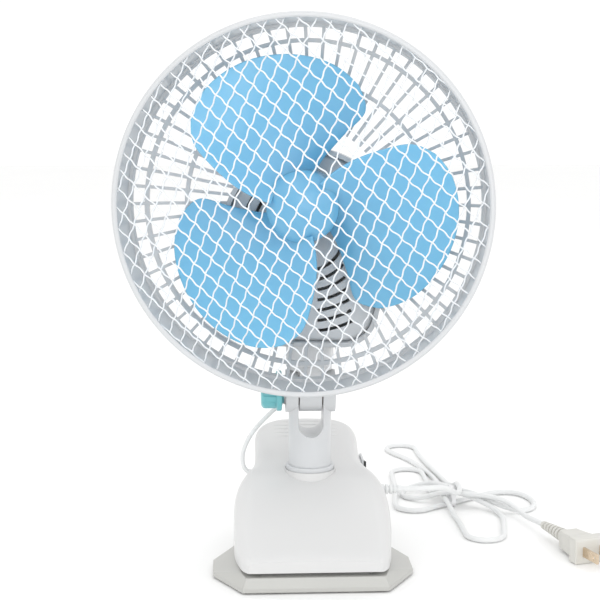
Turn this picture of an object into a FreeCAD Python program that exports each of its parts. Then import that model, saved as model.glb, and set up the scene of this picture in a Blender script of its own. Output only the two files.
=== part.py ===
"""Small desk and clip fan, millimetres, +Z up, front towards -Y.

The origin is the centre of the rubber foot pad's underside. Each sub-part is a solid in its own file.
The head is drawn facing straight forward and is then turned on its neck to where it rests.
"""

import FreeCAD, Part

import math
import os

from FreeCAD import Vector as V

# ---- driving dimensions ------------------------------------------------------------------------
AXIS_Z = 235.0          # height of the fan's spin axis
COLUMN_Y = 28.0         # column, swivel post and motor turn about this line
TILT_Z = 112.0          # height of the tilt bolt
HEAD_YAW = -8.4         # how far the head is turned on its neck, degrees about +Z
JAW_Y = 54.0            # hinge pin of the clip
JAW_Z = 26.0
WALL = 2.2              # moulded wall thickness

PAD_THICK = 1.2
PLATE_HALF_X = 63.5
PLATE_HALF_Y = 44.0
PLATE_FRONT_HALF = 45.0
PLATE_CHAMFER_Y = 12.0
PLATE_EDGE = 2.6        # thickness of the plate's rim
PLATE_TOP = 10.0        # top of the raised middle
TAIL_HALF = 27.0
TAIL_END_Y = 90.0

SLOT_HALF = 8.0         # half the width of the fork's slot
SLOT_BOTTOM = 83.6
COLUMN_R = 13.9
COLUMN_BASE = 59.2
EAR_R = 13.9
EAR_HALF_X = 16.0
BOLT_R = 3.0

RING_R = 115.0
RING_FRONT_Y = -34.0
RING_REAR_Y = -8.0
MESH_R = 111.6          # where the grille wires end, inside the ring
MESH_RISE = 28.0        # how far the grille domes forward of the ring
WIRE_R = 0.45
# direction of each wire family, its pitch and how far it stands off the dome
GRILLE_FAMILIES = ((math.atan2(-6.1, 7.0), 9.2, 0.0), (math.atan2(-8.9, -3.8), 8.83, -2 * WIRE_R))
MOTOR_FRONT_Y = 13.0
MOTOR_SEAM_Y = 34.0
MOTOR_REAR_Y = 62.0
EGG_R = 52.0            # motor housing: a round top that narrows to a flat foot
EGG_CENTRE_Z = AXIS_Z - 20.0
EGG_FOOT_Z = 147.0
RIB_COUNT = 60
RIM_R = 112.0           # outside of the rear guard's rim
HOOK_ANGLES = (50, 134, 223, 320)

BLADE_LEAD = 115.0
BLADE_THICK = 1.6
BLADE_MID_Y = -14.0
BLADE_MID = 107.0       # angle of the first blade's middle, degrees
HUB_R = 22.0
SHAFT_R = 3.0
RUN_FIT = 0.05          # radial clearance of a running fit

LEAD_R = 1.5            # thin lead from the neck to the base
CORD_R = 1.9            # mains cord

# clip body
BODY_LOW = 12.5
FLOOR = 2.0             # thickness of the cover
GLAND_SIDE_Y = 50.0     # head lead's grommet in the left wall
GLAND_SIDE_Z = 49.0
CORD_GLAND_Y = 38.0     # mains cord's strain relief in the right wall
CORD_GLAND_Z = 42.0
SWITCH_Y = 60.0
SWITCH_Z = 53.8
COVER_SCREWS = [(-34.0, -28.0), (34.0, -28.0), (-34.0, 34.0), (34.0, 34.0)]

# neck
TONGUE_HALF = 7.2
DISC_LOW = 126.6
DISC_TOP = 129.6
POST_R = 5.0
POST_TOP = 150.2
LEAD_EXIT_Z = 119.5

# motor
BRACKET_Y = 18.0
CORE_Y0 = 24.0
CORE_Y1 = 42.0
CORE_R = 28.0
ROTOR_R = 13.5
MOTOR_SCREW_R = 24.8
POLES = (45, 135, 225, 315)
REAR_SCREWS = [(-38.0, 222.0), (38.0, 222.0), (-22.0, 168.0), (22.0, 168.0)]

# cord and plug
CORD_EXIT_X = 62.0
TIE_X = 112.5
TIE_Y = 142.0
HANK_LOW = 0.7
PLUG_FROM = V(164.3, 61.0, 8.5)
PLUG_ALONG = V(0.31, -0.951, 0.0)
RELIEF_LENGTH = 28.0

UP = V(0, 0, 1)
ALONG_X = V(1, 0, 0)
ALONG_Y = V(0, 1, 0)


# ---- helpers -----------------------------------------------------------------------------------
def box(x0, x1, y0, y1, z0, z1):
    """A block between two corners."""
    return Part.makeBox(x1 - x0, y1 - y0, z1 - z0, V(x0, y0, z0))


def rod(radius, start, end):
    """A solid cylinder between two points."""
    run = end.sub(start)
    return Part.makeCylinder(radius, run.Length, start, run)


def tube(outer, inner, start, end):
    """A hollow cylinder between two points."""
    return rod(outer, start, end).cut(rod(inner, start, end))


def turned_y(profile, z=AXIS_Z):
    """Turns (radius, y) points about a line along Y at height z."""
    points = [V(r, y, z) for r, y in profile]
    face = Part.Face(Part.makePolygon(points + points[:1]))
    return face.revolve(V(0, 0, z), ALONG_Y, 360)


def joined(shapes):
    """One solid from shapes that overlap."""
    return shapes[0].multiFuse(shapes[1:]).removeSplitter()


def corner_arc(before, corner, after, radius):
    """The arc that rounds a corner, with the two points where it meets the straight runs."""
    back = before.sub(corner).normalize()
    ahead = after.sub(corner).normalize()
    half_turn = (math.pi - back.getAngle(ahead)) / 2
    reach = radius * math.tan(half_turn)
    first = corner + back * reach
    last = corner + ahead * reach
    bisector = (back + ahead).normalize()
    middle = corner + bisector * (radius / math.cos(half_turn) - radius)
    return Part.Arc(first, middle, last).toShape(), first, last


def loft(sections, ruled=False):
    """A solid through closed wires that have the same number of edges."""
    return Part.makeLoft(sections, True, ruled)


def turned_head(shape):
    """Turns a piece of the head on the neck to its rest direction."""
    return shape.rotated(V(0, COLUMN_Y, 0), UP, HEAD_YAW)


def octagon(half_x, half_y, front_half, chamfer_y, z):
    """The foot plate's eight-sided outline at one height."""
    points = [
        V(-front_half, -half_y, z), V(front_half, -half_y, z),
        V(half_x, -chamfer_y, z), V(half_x, chamfer_y, z),
        V(front_half, half_y, z), V(-front_half, half_y, z),
        V(-half_x, chamfer_y, z), V(-half_x, -chamfer_y, z),
    ]
    return Part.makePolygon(points + points[:1])


# ---- foot: the clip's lower jaw ----------------------------------------------------------------
def plate_block(inset, low, rim_top, top):
    """Rim and raised middle of the foot plate, drawn in by inset."""
    rim = [octagon(PLATE_HALF_X - inset, PLATE_HALF_Y - inset, PLATE_FRONT_HALF - inset / 2,
                   PLATE_CHAMFER_Y, z) for z in (low, rim_top)]
    middle = octagon(46.0 - inset, 42.0 - inset, 43.0 - inset, 30.0, top)
    return loft(rim, True).fuse(loft([rim[1], middle], True)).removeSplitter()


def lower_jaw():
    """Foot plate with the two hinge lugs and the rear lever."""
    low = PAD_THICK
    outer = plate_block(0.0, low, low + PLATE_EDGE, PLATE_TOP)
    hollow = plate_block(WALL, low - 1.0, low + 0.8, PLATE_TOP - WALL)
    tail = box(-TAIL_HALF, TAIL_HALF, 30.0, TAIL_END_Y, low, PLATE_TOP)
    rear = [e for e in tail.Edges if abs(e.CenterOfMass.y - TAIL_END_Y) < 0.1 and e.Length < 20
            and abs(abs(e.CenterOfMass.x) - TAIL_HALF) < 0.1]
    tail = tail.makeFillet(14.0, rear)
    tail_hollow = box(-TAIL_HALF + WALL, TAIL_HALF - WALL, 30.0, TAIL_END_Y - 12, low - 1, PLATE_TOP - WALL)
    lugs = []
    for side in (-1, 1):
        inner, outer_x = sorted((side * 22.0, side * 26.8))
        lugs.append(box(inner, outer_x, JAW_Y - 7, JAW_Y + 7, PLATE_TOP - WALL, JAW_Z))
        lugs.append(rod(7.0, V(inner, JAW_Y, JAW_Z), V(outer_x, JAW_Y, JAW_Z)))
    body = joined([outer.cut(hollow), tail.cut(tail_hollow), *lugs])
    return body.cut(rod(2.0, V(-40, JAW_Y, JAW_Z), V(40, JAW_Y, JAW_Z)))


def foot_pad():
    """Rubber sheet glued under the foot plate."""
    return loft([octagon(PLATE_HALF_X - 3, PLATE_HALF_Y - 3, PLATE_FRONT_HALF - 1.5, PLATE_CHAMFER_Y, z)
                 for z in (0.0, PAD_THICK)], True)


def grooved_pad(z0, z1, groove_z, y0, y1, half_x):
    """A jaw pad: a rubber strip with cross grooves in one face."""
    pad = box(-half_x, half_x, y0, y1, z0, z1)
    for k in range(6):
        y = y0 + (k + 0.75) * (y1 - y0) / 6.5
        pad = pad.cut(box(-half_x - 1, half_x + 1, y, y + 1.2, groove_z - 0.45, groove_z + 0.45))
    return pad


def hinge_pin():
    """Steel pin through the lugs of both jaws, with a swaged head at each end."""
    pin = rod(2.0, V(-33.5, JAW_Y, JAW_Z), V(33.5, JAW_Y, JAW_Z))
    heads = [rod(3.2, V(side * 33.5, JAW_Y, JAW_Z), V(side * 35.0, JAW_Y, JAW_Z)) for side in (-1, 1)]
    return joined([pin, *heads])


def jaw_spring():
    """Torsion spring on the pin: turns side by side and two legs, drawn as rings joined by a bar."""
    wire, coil_r = 1.1, 5.0
    rings = [Part.makeTorus(coil_r, wire, V(x, JAW_Y, JAW_Z), ALONG_X)
             for x in [k * 2.0 for k in range(-5, 6)]]
    lower_leg = rod(wire, V(10.0, JAW_Y, JAW_Z - coil_r), V(10.0, JAW_Y + 26, PLATE_TOP + wire - 0.1))
    upper_leg = rod(wire, V(-10.0, JAW_Y, JAW_Z + coil_r), V(-10.0, JAW_Y + 16, 47.2))
    return joined([*rings, lower_leg, upper_leg])


# ---- clip: upper body, column and what they hold -----------------------------------------------
# y, half width, top, shoulder radius
BODY_STATIONS = [
    (-41.4, 41.0, 19.0, 3.0),
    (-38.5, 43.6, 21.4, 4.5),
    (-30.0, 46.5, 27.0, 7.5),
    (-15.0, 49.2, 37.5, 11.0),
    (0.0, 50.0, 47.6, 13.0),
    (14.0, 49.0, 55.4, 13.0),
    (28.0, 45.0, 59.4, 12.0),
    (40.0, 39.8, 61.0, 10.5),
    (51.0, 36.4, 62.8, 8.5),
    (60.0, 35.6, 65.0, 8.0),
    (74.0, 35.5, 69.6, 7.0),
    (84.0, 34.6, 73.4, 6.0),
    (91.0, 30.0, 76.0, 5.5),
    (95.5, 19.0, 77.4, 5.0),
]
# underside of the handle, from the jaw's back edge to the handle's end: (y, z)
UNDERSIDE = [(41.5, BODY_LOW), (42.6, 30.0), (45.5, 35.0), (52.0, 38.8), (60.0, 43.5), (74.0, 51.0),
             (84.0, 56.6), (98.0, 64.5)]


def body_section(y, half_x, low, high, shoulder):
    """A cross-section of the body: flat below, rounded shoulders and a slightly crowned top."""
    k = shoulder * (1 - math.sqrt(0.5))
    crown = 0.025 * half_x
    left, right = -half_x, half_x
    lines = [
        Part.LineSegment(V(left, y, low), V(right, y, low)),
        Part.LineSegment(V(right, y, low), V(right, y, high - shoulder)),
        Part.Arc(V(right, y, high - shoulder), V(right - k, y, high - k), V(right - shoulder, y, high)),
        Part.Arc(V(right - shoulder, y, high), V(0, y, high + crown), V(left + shoulder, y, high)),
        Part.Arc(V(left + shoulder, y, high), V(left + k, y, high - k), V(left, y, high - shoulder)),
        Part.LineSegment(V(left, y, high - shoulder), V(left, y, low)),
    ]
    return Part.Wire([s.toShape() for s in lines])


def body_loft(inset, low):
    """The body's form drawn in by inset, down to a level underside."""
    sections = []
    for k, (y, half_x, high, shoulder) in enumerate(BODY_STATIONS):
        if k == 0:
            y += inset
        if k == len(BODY_STATIONS) - 1:
            y -= inset
        sections.append(body_section(y, half_x - inset, low, high - inset, max(shoulder - inset, 0.8)))
    return loft(sections)


def across(profile, half_x=60.0):
    """A (y, z) outline extruded to both sides."""
    points = [V(-half_x, y, z) for y, z in profile]
    return Part.Face(Part.makePolygon(points + points[:1])).extrude(V(2 * half_x, 0, 0))


def under_handle():
    """The space below the handle and behind the jaw."""
    return across([(UNDERSIDE[0][0], 0.0), *UNDERSIDE[1:], (120.0, 77.0), (120.0, 0.0)])


def base_shell():
    """Bell-shaped upper jaw and handle in one thin moulding, open below."""
    shell = body_loft(0.0, BODY_LOW).cut(body_loft(WALL, BODY_LOW - 3.0)).cut(under_handle())
    boss = rod(17.0, V(0, COLUMN_Y, 48.0), V(0, COLUMN_Y, COLUMN_BASE + 1.4))
    posts = [post.common(body_loft(WALL / 2, BODY_LOW)) for post in screw_posts()]
    shell = joined([shell, boss, *posts])
    shell = shell.cut(rod(9.0, V(0, COLUMN_Y, 40), V(0, COLUMN_Y, 70)))
    shell = shell.cut(rod(16.0, V(0, COLUMN_Y, COLUMN_BASE), V(0, COLUMN_Y, 70)))
    shell = shell.cut(rod(3.4, V(-50, GLAND_SIDE_Y, GLAND_SIDE_Z), V(-20, GLAND_SIDE_Y, GLAND_SIDE_Z)))
    shell = shell.cut(rod(4.2, V(20, CORD_GLAND_Y, CORD_GLAND_Z), V(60, CORD_GLAND_Y, CORD_GLAND_Z)))
    shell = shell.cut(box(20, 50, SWITCH_Y - 7.8, SWITCH_Y + 7.8, SWITCH_Z - 4.2, SWITCH_Z + 4.2))
    for k in range(5):
        y = 74.0 + 4.2 * k
        top = 69.6 + (y - 74.0) * 0.37
        shell = shell.cut(rod(1.0, V(-22, y, top + 1.35), V(22, y, top + 1.35)))
    return max(shell.Solids, key=lambda s: s.Volume)


def base_cover():
    """Cover that closes the body from below, with the lugs that the hinge pin goes through."""
    inner_edge = [(y - 1.9, z + 1.2) for y, z in UNDERSIDE[1:]]
    strip = across([(-38.9, BODY_LOW), *UNDERSIDE, *reversed(inner_edge), (39.6, BODY_LOW + FLOOR),
                    (-38.9, BODY_LOW + FLOOR)])
    cover = body_loft(WALL + 0.15, BODY_LOW - 3.0).common(strip)
    parts = [cover]
    for side in (-1, 1):
        inner, outer = sorted((side * 27.3, side * 32.6))
        parts.append(across([(JAW_Y - 5.5, JAW_Z), (JAW_Y + 5.5, JAW_Z), (JAW_Y + 5.5, 44.0),
                             (JAW_Y - 5.5, 37.8)]).common(box(inner, outer, 0, 100, 0, 100)))
        parts.append(rod(5.5, V(inner, JAW_Y, JAW_Z), V(outer, JAW_Y, JAW_Z)))
    body = joined(parts)
    body = body.cut(rod(2.0 + RUN_FIT, V(-40, JAW_Y, JAW_Z), V(40, JAW_Y, JAW_Z)))
    body = body.cut(box(15, 50, SWITCH_Y - 8.0, SWITCH_Y + 8.0, SWITCH_Z - 4.4, SWITCH_Z + 8))
    for x, y in COVER_SCREWS:
        body = body.cut(rod(1.7, V(x, y, 0), V(x, y, 40)))
        body = body.cut(rod(3.1, V(x, y, 0), V(x, y, BODY_LOW + 0.9)))
    return max(body.Solids, key=lambda s: s.Volume)


def cover_screws():
    """Four self-tapping screws that hold the cover."""
    screws = []
    for x, y in COVER_SCREWS:
        shank = rod(1.5, V(x, y, BODY_LOW), V(x, y, 24.0))
        head = rod(3.0, V(x, y, BODY_LOW - 0.3), V(x, y, BODY_LOW + 0.9))
        slot = box(x - 2.2, x + 2.2, y - 0.4, y + 0.4, BODY_LOW - 1.0, BODY_LOW + 0.2)
        screws.append(joined([shank, head]).cut(slot))
    return Part.makeCompound(screws)


def screw_posts():
    """Four bosses that the cover's screws bite into, moulded on the upper shell."""
    posts = []
    for x, y in COVER_SCREWS:
        top = 26.0 if y < 0 else 50.0
        posts.append(tube(3.6, 1.5, V(x, y, BODY_LOW + FLOOR), V(x, y, top)))
    return posts


def column():
    """Round column whose top forks into two ears around the tilt tongue."""
    axis = V(0, COLUMN_Y, 0)
    shaft = rod(COLUMN_R, axis + V(0, 0, COLUMN_BASE), axis + V(0, 0, TILT_Z))
    ears = rod(EAR_R, V(-EAR_HALF_X, COLUMN_Y, TILT_Z), V(EAR_HALF_X, COLUMN_Y, TILT_Z))
    tenon = rod(8.8, axis + V(0, 0, 48.0), axis + V(0, 0, COLUMN_BASE))
    body = joined([shaft, ears, tenon])
    slot_z = SLOT_BOTTOM + SLOT_HALF
    body = body.cut(box(-SLOT_HALF, SLOT_HALF, 0, 60, slot_z, 140))
    body = body.cut(rod(SLOT_HALF, V(0, 0, slot_z), V(0, 60, slot_z)))
    body = body.cut(rod(BOLT_R, V(-20, COLUMN_Y, TILT_Z), V(20, COLUMN_Y, TILT_Z)))
    body = body.cut(hexagon(10.0, EAR_HALF_X - 4.2, EAR_HALF_X + 1))
    return body.cut(rod(1.7, axis + V(0, 0, 40), axis + V(0, 0, 74)))


def hexagon(across_flats, x0, x1):
    """A hexagonal bar along the tilt bolt."""
    r = across_flats / math.sqrt(3)
    points = [V(x0, COLUMN_Y + r * math.cos(math.radians(60 * k)), TILT_Z + r * math.sin(math.radians(60 * k)))
              for k in range(7)]
    return Part.Face(Part.makePolygon(points)).extrude(V(x1 - x0, 0, 0))


def column_collar():
    """Trim ring at the foot of the column."""
    ring = tube(15.7, COLUMN_R, V(0, COLUMN_Y, COLUMN_BASE), V(0, COLUMN_Y, COLUMN_BASE + 4.2))
    top = [e for e in ring.Edges if abs(e.CenterOfMass.z - COLUMN_BASE - 4.2) < 0.01 and e.Length > 93]
    return ring.makeFillet(0.8, top)


def column_screw():
    """Long screw that pulls the column down on its seat, with a wide head under the washer."""
    axis = V(0, COLUMN_Y, 0)
    return joined([rod(1.7, axis + V(0, 0, 47.0), axis + V(0, 0, 72.0)),
                   rod(4.0, axis + V(0, 0, 43.6), axis + V(0, 0, 46.6))])


def column_washer():
    """Wide washer that keeps the column's tenon in the boss."""
    axis = V(0, COLUMN_Y, 0)
    return tube(13.0, 1.7, axis + V(0, 0, 46.6), axis + V(0, 0, 48.0))


def tilt_bolt():
    """Bolt through both ears and the tongue; its hexagon head sits in the right ear."""
    head = hexagon(9.8, EAR_HALF_X - 4.2, EAR_HALF_X - 0.2)
    return joined([rod(BOLT_R, V(-29.0, COLUMN_Y, TILT_Z), V(EAR_HALF_X - 4.0, COLUMN_Y, TILT_Z)), head])


def friction_washers():
    """Two fibre washers between the tongue and the ears."""
    return Part.makeCompound([
        tube(9.5, BOLT_R, V(side * 7.3, COLUMN_Y, TILT_Z), V(side * 8.0, COLUMN_Y, TILT_Z))
        for side in (-1, 1)])


def knob_washer():
    """Steel washer under the tilt knob."""
    return tube(9.0, BOLT_R, V(-EAR_HALF_X - 1.0, COLUMN_Y, TILT_Z), V(-EAR_HALF_X, COLUMN_Y, TILT_Z))


def lead_grommet():
    """Grommet where the head's lead enters the left wall."""
    y, z = GLAND_SIDE_Y, GLAND_SIDE_Z
    body = joined([rod(3.3, V(-40.0, y, z), V(-32.0, y, z)), rod(4.8, V(-40.0, y, z), V(-38.4, y, z))])
    return body.cut(rod(LEAD_R, HEAD_LEAD[-1], HEAD_LEAD[-2]))


def cord_relief():
    """Tapered, ribbed strain relief where the mains cord leaves the right wall."""
    y, z = CORD_GLAND_Y, CORD_GLAND_Z
    start, wide, end = 36.0, 43.8, CORD_EXIT_X
    neck = rod(4.1, V(start, y, z), V(wide, y, z))
    flange = rod(5.6, V(wide - 0.6, y, z), V(wide + 1.6, y, z))
    taper = Part.makeCone(3.9, CORD_R + 0.6, end - wide - 1.6, V(wide + 1.6, y, z), ALONG_X)
    body = joined([neck, flange, taper])
    for k in range(5):
        x = wide + 3.6 + 2.7 * k
        body = body.cut(tube(6.0, CORD_R + 0.35, V(x, y, z), V(x + 1.1, y, z)))
    return body


def rocker_housing():
    """Snap-in body of the rocker switch, in the right side of the handle."""
    y, z = SWITCH_Y, SWITCH_Z
    bezel = box(36.4, 37.8, y - 8.8, y + 8.8, z - 5.2, z + 5.2)
    can = box(21.0, 36.6, y - 7.6, y + 7.6, z - 4.0, z + 4.0)
    body = joined([bezel, can])
    body = body.cut(box(30.0, 40.0, y - 7.0, y + 7.0, z - 3.4, z + 3.4))
    tags = [box(15.0, 21.2, y + s * 4 - 0.4, y + s * 4 + 0.4, z - 2.2, z + 2.2) for s in (-1, 1)]
    return joined([body, *tags])


def rocker():
    """Rocker that tips about a vertical line at the middle of the switch."""
    y, z = SWITCH_Y, SWITCH_Z
    points = [V(31.5, y - 4.6, z - 3.1), V(31.5, y + 4.6, z - 3.1), V(37.4, y + 5.5, z - 3.1),
              V(38.0, y, z - 3.1), V(39.8, y - 5.5, z - 3.1)]
    return Part.Face(Part.makePolygon(points + points[:1])).extrude(V(0, 0, 6.2))


def wire_caps():
    """Two crimped caps that join the lead to the cord inside the base."""
    caps = []
    for x in (-12.0, -4.0):
        cap = rod(2.6, V(x, 2.0, 22.0), V(x, 16.0, 22.0))
        caps.append(cap.fuse(Part.makeSphere(2.6, V(x, 2.0, 22.0))).removeSplitter())
    return Part.makeCompound(caps)


# ---- tilt knob ---------------------------------------------------------------------------------
def tilt_knob():
    """Lobed knob with a thin flange."""
    axis = V(0, COLUMN_Y, TILT_Z)
    back = rod(8.4, axis + V(-18.6, 0, 0), axis + V(-17.1, 0, 0))
    flange = rod(13.2, axis + V(-22.0, 0, 0), axis + V(-18.5, 0, 0))
    rim = [e for e in flange.Edges if abs(e.Length - 2 * math.pi * 13.2) < 0.1]
    flange = flange.makeFillet(1.0, rim)
    grip = rod(11.5, axis + V(-32.0, 0, 0), axis + V(-21.5, 0, 0))
    end = [e for e in grip.Edges if abs(e.CenterOfMass.x + 32.0) < 0.01 and e.Length > 60]
    grip = grip.makeFillet(3.0, end)
    body = joined([back, flange, grip])
    for k in range(10):
        a = math.radians(36 * k)
        centre = axis + V(0, 13.2 * math.cos(a), 13.2 * math.sin(a))
        body = body.cut(rod(2.6, centre + V(-34, 0, 0), centre + V(-22.6, 0, 0)))
    body = body.cut(hexagon(10.0, -26.0, -16.0))
    return body.cut(rod(BOLT_R + 0.3, axis + V(-30.0, 0, 0), axis + V(-16.0, 0, 0)))


def knob_nut():
    """Nut moulded into the knob."""
    nut = hexagon(10.0, -26.0, -20.0)
    return nut.cut(rod(BOLT_R + RUN_FIT, V(-30, COLUMN_Y, TILT_Z), V(-10, COLUMN_Y, TILT_Z)))


# ---- neck: tongue and swivel post --------------------------------------------------------------


def tilt_tongue():
    """Tongue held in the fork, with the disc and post that the head turns on."""
    axis = V(0, COLUMN_Y, 0)
    eye = rod(13.5, V(-TONGUE_HALF, COLUMN_Y, TILT_Z), V(TONGUE_HALF, COLUMN_Y, TILT_Z))
    web = box(-TONGUE_HALF, TONGUE_HALF, COLUMN_Y - 13.5, COLUMN_Y + 13.5, TILT_Z, DISC_LOW + 0.5)
    disc = rod(14.3, axis + V(0, 0, DISC_LOW), axis + V(0, 0, DISC_TOP))
    post = rod(POST_R, axis + V(0, 0, DISC_TOP - 1), axis + V(0, 0, POST_TOP))
    body = joined([eye, web, disc, post])
    body = body.cut(rod(BOLT_R + RUN_FIT, V(-20, COLUMN_Y, TILT_Z), V(20, COLUMN_Y, TILT_Z)))
    body = body.cut(rod(2.0, axis + V(0, 0, LEAD_EXIT_Z), axis + V(0, 0, POST_TOP + 1)))
    return body.cut(rod(2.0, V(0, COLUMN_Y, LEAD_EXIT_Z), V(0, COLUMN_Y + 20, LEAD_EXIT_Z)))


def neck_bush():
    """Bush where the lead leaves the back of the tongue."""
    y, z = COLUMN_Y + 13.5, LEAD_EXIT_Z
    body = joined([rod(2.0, V(0, y - 5, z), V(0, y, z)), rod(3.4, V(0, y, z), V(0, y + 3.0, z))])
    return body.cut(rod(LEAD_R, HEAD_LEAD[0], HEAD_LEAD[1]))


def swivel_washer():
    """Washer that keeps the head on the post."""
    axis = V(0, COLUMN_Y, 0)
    return tube(8.0, 2.0, axis + V(0, 0, POST_TOP), axis + V(0, 0, POST_TOP + 1.2))


def swivel_rivet():
    """Hollow rivet that holds the washer; the wires pass through it."""
    axis = V(0, COLUMN_Y, 0)
    return joined([rod(2.0, axis + V(0, 0, 140), axis + V(0, 0, POST_TOP + 1.2)),
                   rod(4.0, axis + V(0, 0, POST_TOP + 1.2), axis + V(0, 0, POST_TOP + 2.4))]).cut(
        rod(1.3, axis + V(0, 0, 139), axis + V(0, 0, POST_TOP + 3)))


# ---- head: motor housing -----------------------------------------------------------------------
def egg_wire(y, grow=0.0):
    """Outline of the motor housing, grown by an amount: round above, tapering to a flat foot."""
    lean = math.radians(-13.0)
    r = EGG_R + grow
    foot = EGG_FOOT_Z - grow
    tangent = V(r * math.cos(lean), y, EGG_CENTRE_Z + r * math.sin(lean))
    drop = tangent.z - foot
    corner = V(tangent.x - drop * math.tan(-lean), y, foot)
    arc, on_side, on_foot = corner_arc(tangent, corner, V(0, y, foot), 20.0 + grow)
    mirror = [V(-p.x, p.y, p.z) for p in (tangent, on_side, on_foot)]
    left_arc = arc.mirror(V(0, 0, 0), ALONG_X)
    edges = [
        Part.Arc(mirror[0], V(0, y, EGG_CENTRE_Z + r), tangent).toShape(),
        Part.makeLine(tangent, on_side), arc, Part.makeLine(on_foot, mirror[2]),
        left_arc, Part.makeLine(mirror[1], mirror[0]),
    ]
    return Part.Wire(Part.__sortEdges__(edges))


def egg_prism(y0, y1, grow=0.0):
    """The housing's outline as a solid from y0 to y1."""
    return Part.Face(egg_wire(y0, grow)).extrude(V(0, y1 - y0, 0))


def arc_slot(radius, width, first, last, y0, y1, centre_z):
    """A curved slot between two angles, in degrees from +X towards +Z."""
    half = width / 2

    def at(r, angle):
        a = math.radians(angle)
        return V(r * math.cos(a), y0, centre_z + r * math.sin(a))

    mid = (first + last) / 2
    edges = [
        Part.Arc(at(radius - half, first), at(radius - half, mid), at(radius - half, last)).toShape(),
        Part.makeLine(at(radius - half, last), at(radius + half, last)),
        Part.Arc(at(radius + half, last), at(radius + half, mid), at(radius + half, first)).toShape(),
        Part.makeLine(at(radius + half, first), at(radius - half, first)),
    ]
    return Part.Face(Part.Wire(edges)).extrude(V(0, y1 - y0, 0))


def vent_slots():
    """Curved vents in the housing's front, either side of a plain middle bar and above the axis."""
    slots = []
    for k in range(7):
        r = 22.5 + 6.5 * k
        near = math.degrees(math.asin(6.0 / r))
        far = math.degrees(math.asin(min(0.93, (21.0 + 0.2 * (r - 22.5)) / r)))
        for side in (-1, 1):
            first, last = sorted((270 + side * near, 270 + side * far))
            slots.append(arc_slot(r, 2.0, first, last, MOTOR_FRONT_Y - 1, MOTOR_FRONT_Y + 4, EGG_CENTRE_Z))
        if 28 < r < 44:
            for first, last in ((14, 50), (130, 166)):
                slots.append(arc_slot(r, 2.0, first, last, MOTOR_FRONT_Y - 1, MOTOR_FRONT_Y + 4,
                                      EGG_CENTRE_Z))
    return slots


def motor_front_cover():
    """Front half of the motor housing with its curved vents."""
    body = egg_prism(MOTOR_FRONT_Y, MOTOR_SEAM_Y)
    front = [e for e in body.Edges if abs(e.BoundBox.YMax - MOTOR_FRONT_Y) < 0.01]
    body = body.makeFillet(3.0, front)
    body = body.cut(egg_prism(MOTOR_FRONT_Y + WALL, MOTOR_SEAM_Y + 1, -WALL))
    body = body.cut(Part.makeCompound(vent_slots()))
    seat = tube(CORE_R - 0.5, CORE_R - 3.5, V(0, MOTOR_FRONT_Y + 1, AXIS_Z), V(0, BRACKET_Y, AXIS_Z))
    bosses = [rod(3.4, V(x, MOTOR_FRONT_Y + 1, z), V(x, MOTOR_SEAM_Y, z)) for x, z in REAR_SCREWS]
    body = joined([body, seat, *bosses])
    for x, z in REAR_SCREWS:
        body = body.cut(rod(1.5, V(x, 18.0, z), V(x, MOTOR_SEAM_Y + 1, z)))
    body = body.cut(rod(7.0, V(0, 0, AXIS_Z), V(0, 30, AXIS_Z)))
    body = body.cut(rod(POST_R + 0.6, V(0, COLUMN_Y, 140), V(0, COLUMN_Y, 152))).cut(screw_ways())
    return max(body.Solids, key=lambda s: s.Volume)


def motor_rear_cover():
    """Rear half of the motor housing, with rounded back and level vents."""
    body = egg_prism(MOTOR_SEAM_Y, MOTOR_REAR_Y)
    rear = [e for e in body.Edges if abs(e.BoundBox.YMin - MOTOR_REAR_Y) < 0.01]
    body = body.makeFillet(13.0, rear)
    hollow = egg_prism(MOTOR_SEAM_Y - 1, MOTOR_REAR_Y - WALL, -WALL)
    rear = [e for e in hollow.Edges if abs(e.BoundBox.YMin - MOTOR_REAR_Y + WALL) < 0.01]
    body = body.cut(hollow.makeFillet(11.0, rear))
    for k in range(7):
        z = EGG_CENTRE_Z - 12 + 6.0 * k
        half = 24.0 - 1.2 * abs(k - 3)
        slot = box(-half, half, MOTOR_REAR_Y - 5, MOTOR_REAR_Y + 2, z - 1.1, z + 1.1)
        body = body.cut(slot)
    bosses = [rod(3.4, V(x, MOTOR_SEAM_Y, z), V(x, MOTOR_REAR_Y - 1, z)) for x, z in REAR_SCREWS]
    body = joined([body, *bosses])
    for x, z in REAR_SCREWS:
        body = body.cut(rod(1.5, V(x, 0, z), V(x, MOTOR_REAR_Y + 1, z)))
    return body


def rear_cover_screws():
    """Four screws that hold the rear cover."""
    screws = []
    for x, z in REAR_SCREWS:
        shank = rod(1.5, V(x, 24.0, z), V(x, MOTOR_REAR_Y, z))
        head = rod(2.9, V(x, MOTOR_REAR_Y, z), V(x, MOTOR_REAR_Y + 1.4, z))
        cross = box(x - 1.8, x + 1.8, MOTOR_REAR_Y + 0.8, MOTOR_REAR_Y + 2, z - 0.35, z + 0.35)
        other = box(x - 0.35, x + 0.35, MOTOR_REAR_Y + 0.8, MOTOR_REAR_Y + 2, z - 1.8, z + 1.8)
        screws.append(joined([shank, head]).cut(cross).cut(other))
    return Part.makeCompound(screws)


def neck_socket():
    """Square socket below the housing that turns on the post."""
    body = box(-14.5, 14.5, COLUMN_Y - 14.5, COLUMN_Y + 14.5, DISC_TOP + 0.25, EGG_FOOT_Z)
    upright = [e for e in body.Edges if abs(e.BoundBox.ZLength - body.BoundBox.ZLength) < 0.01]
    body = body.makeFillet(3.5, upright)
    return body.cut(rod(POST_R + RUN_FIT, V(0, COLUMN_Y, 120), V(0, COLUMN_Y, 160)))


# ---- head: motor -------------------------------------------------------------------------------


def motor_screw_points():
    """Places of the motor's four through screws, as (x, z)."""
    return [(MOTOR_SCREW_R * math.cos(math.radians(a)), AXIS_Z + MOTOR_SCREW_R * math.sin(math.radians(a)))
            for a in (0, 90, 180, 270)]


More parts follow.
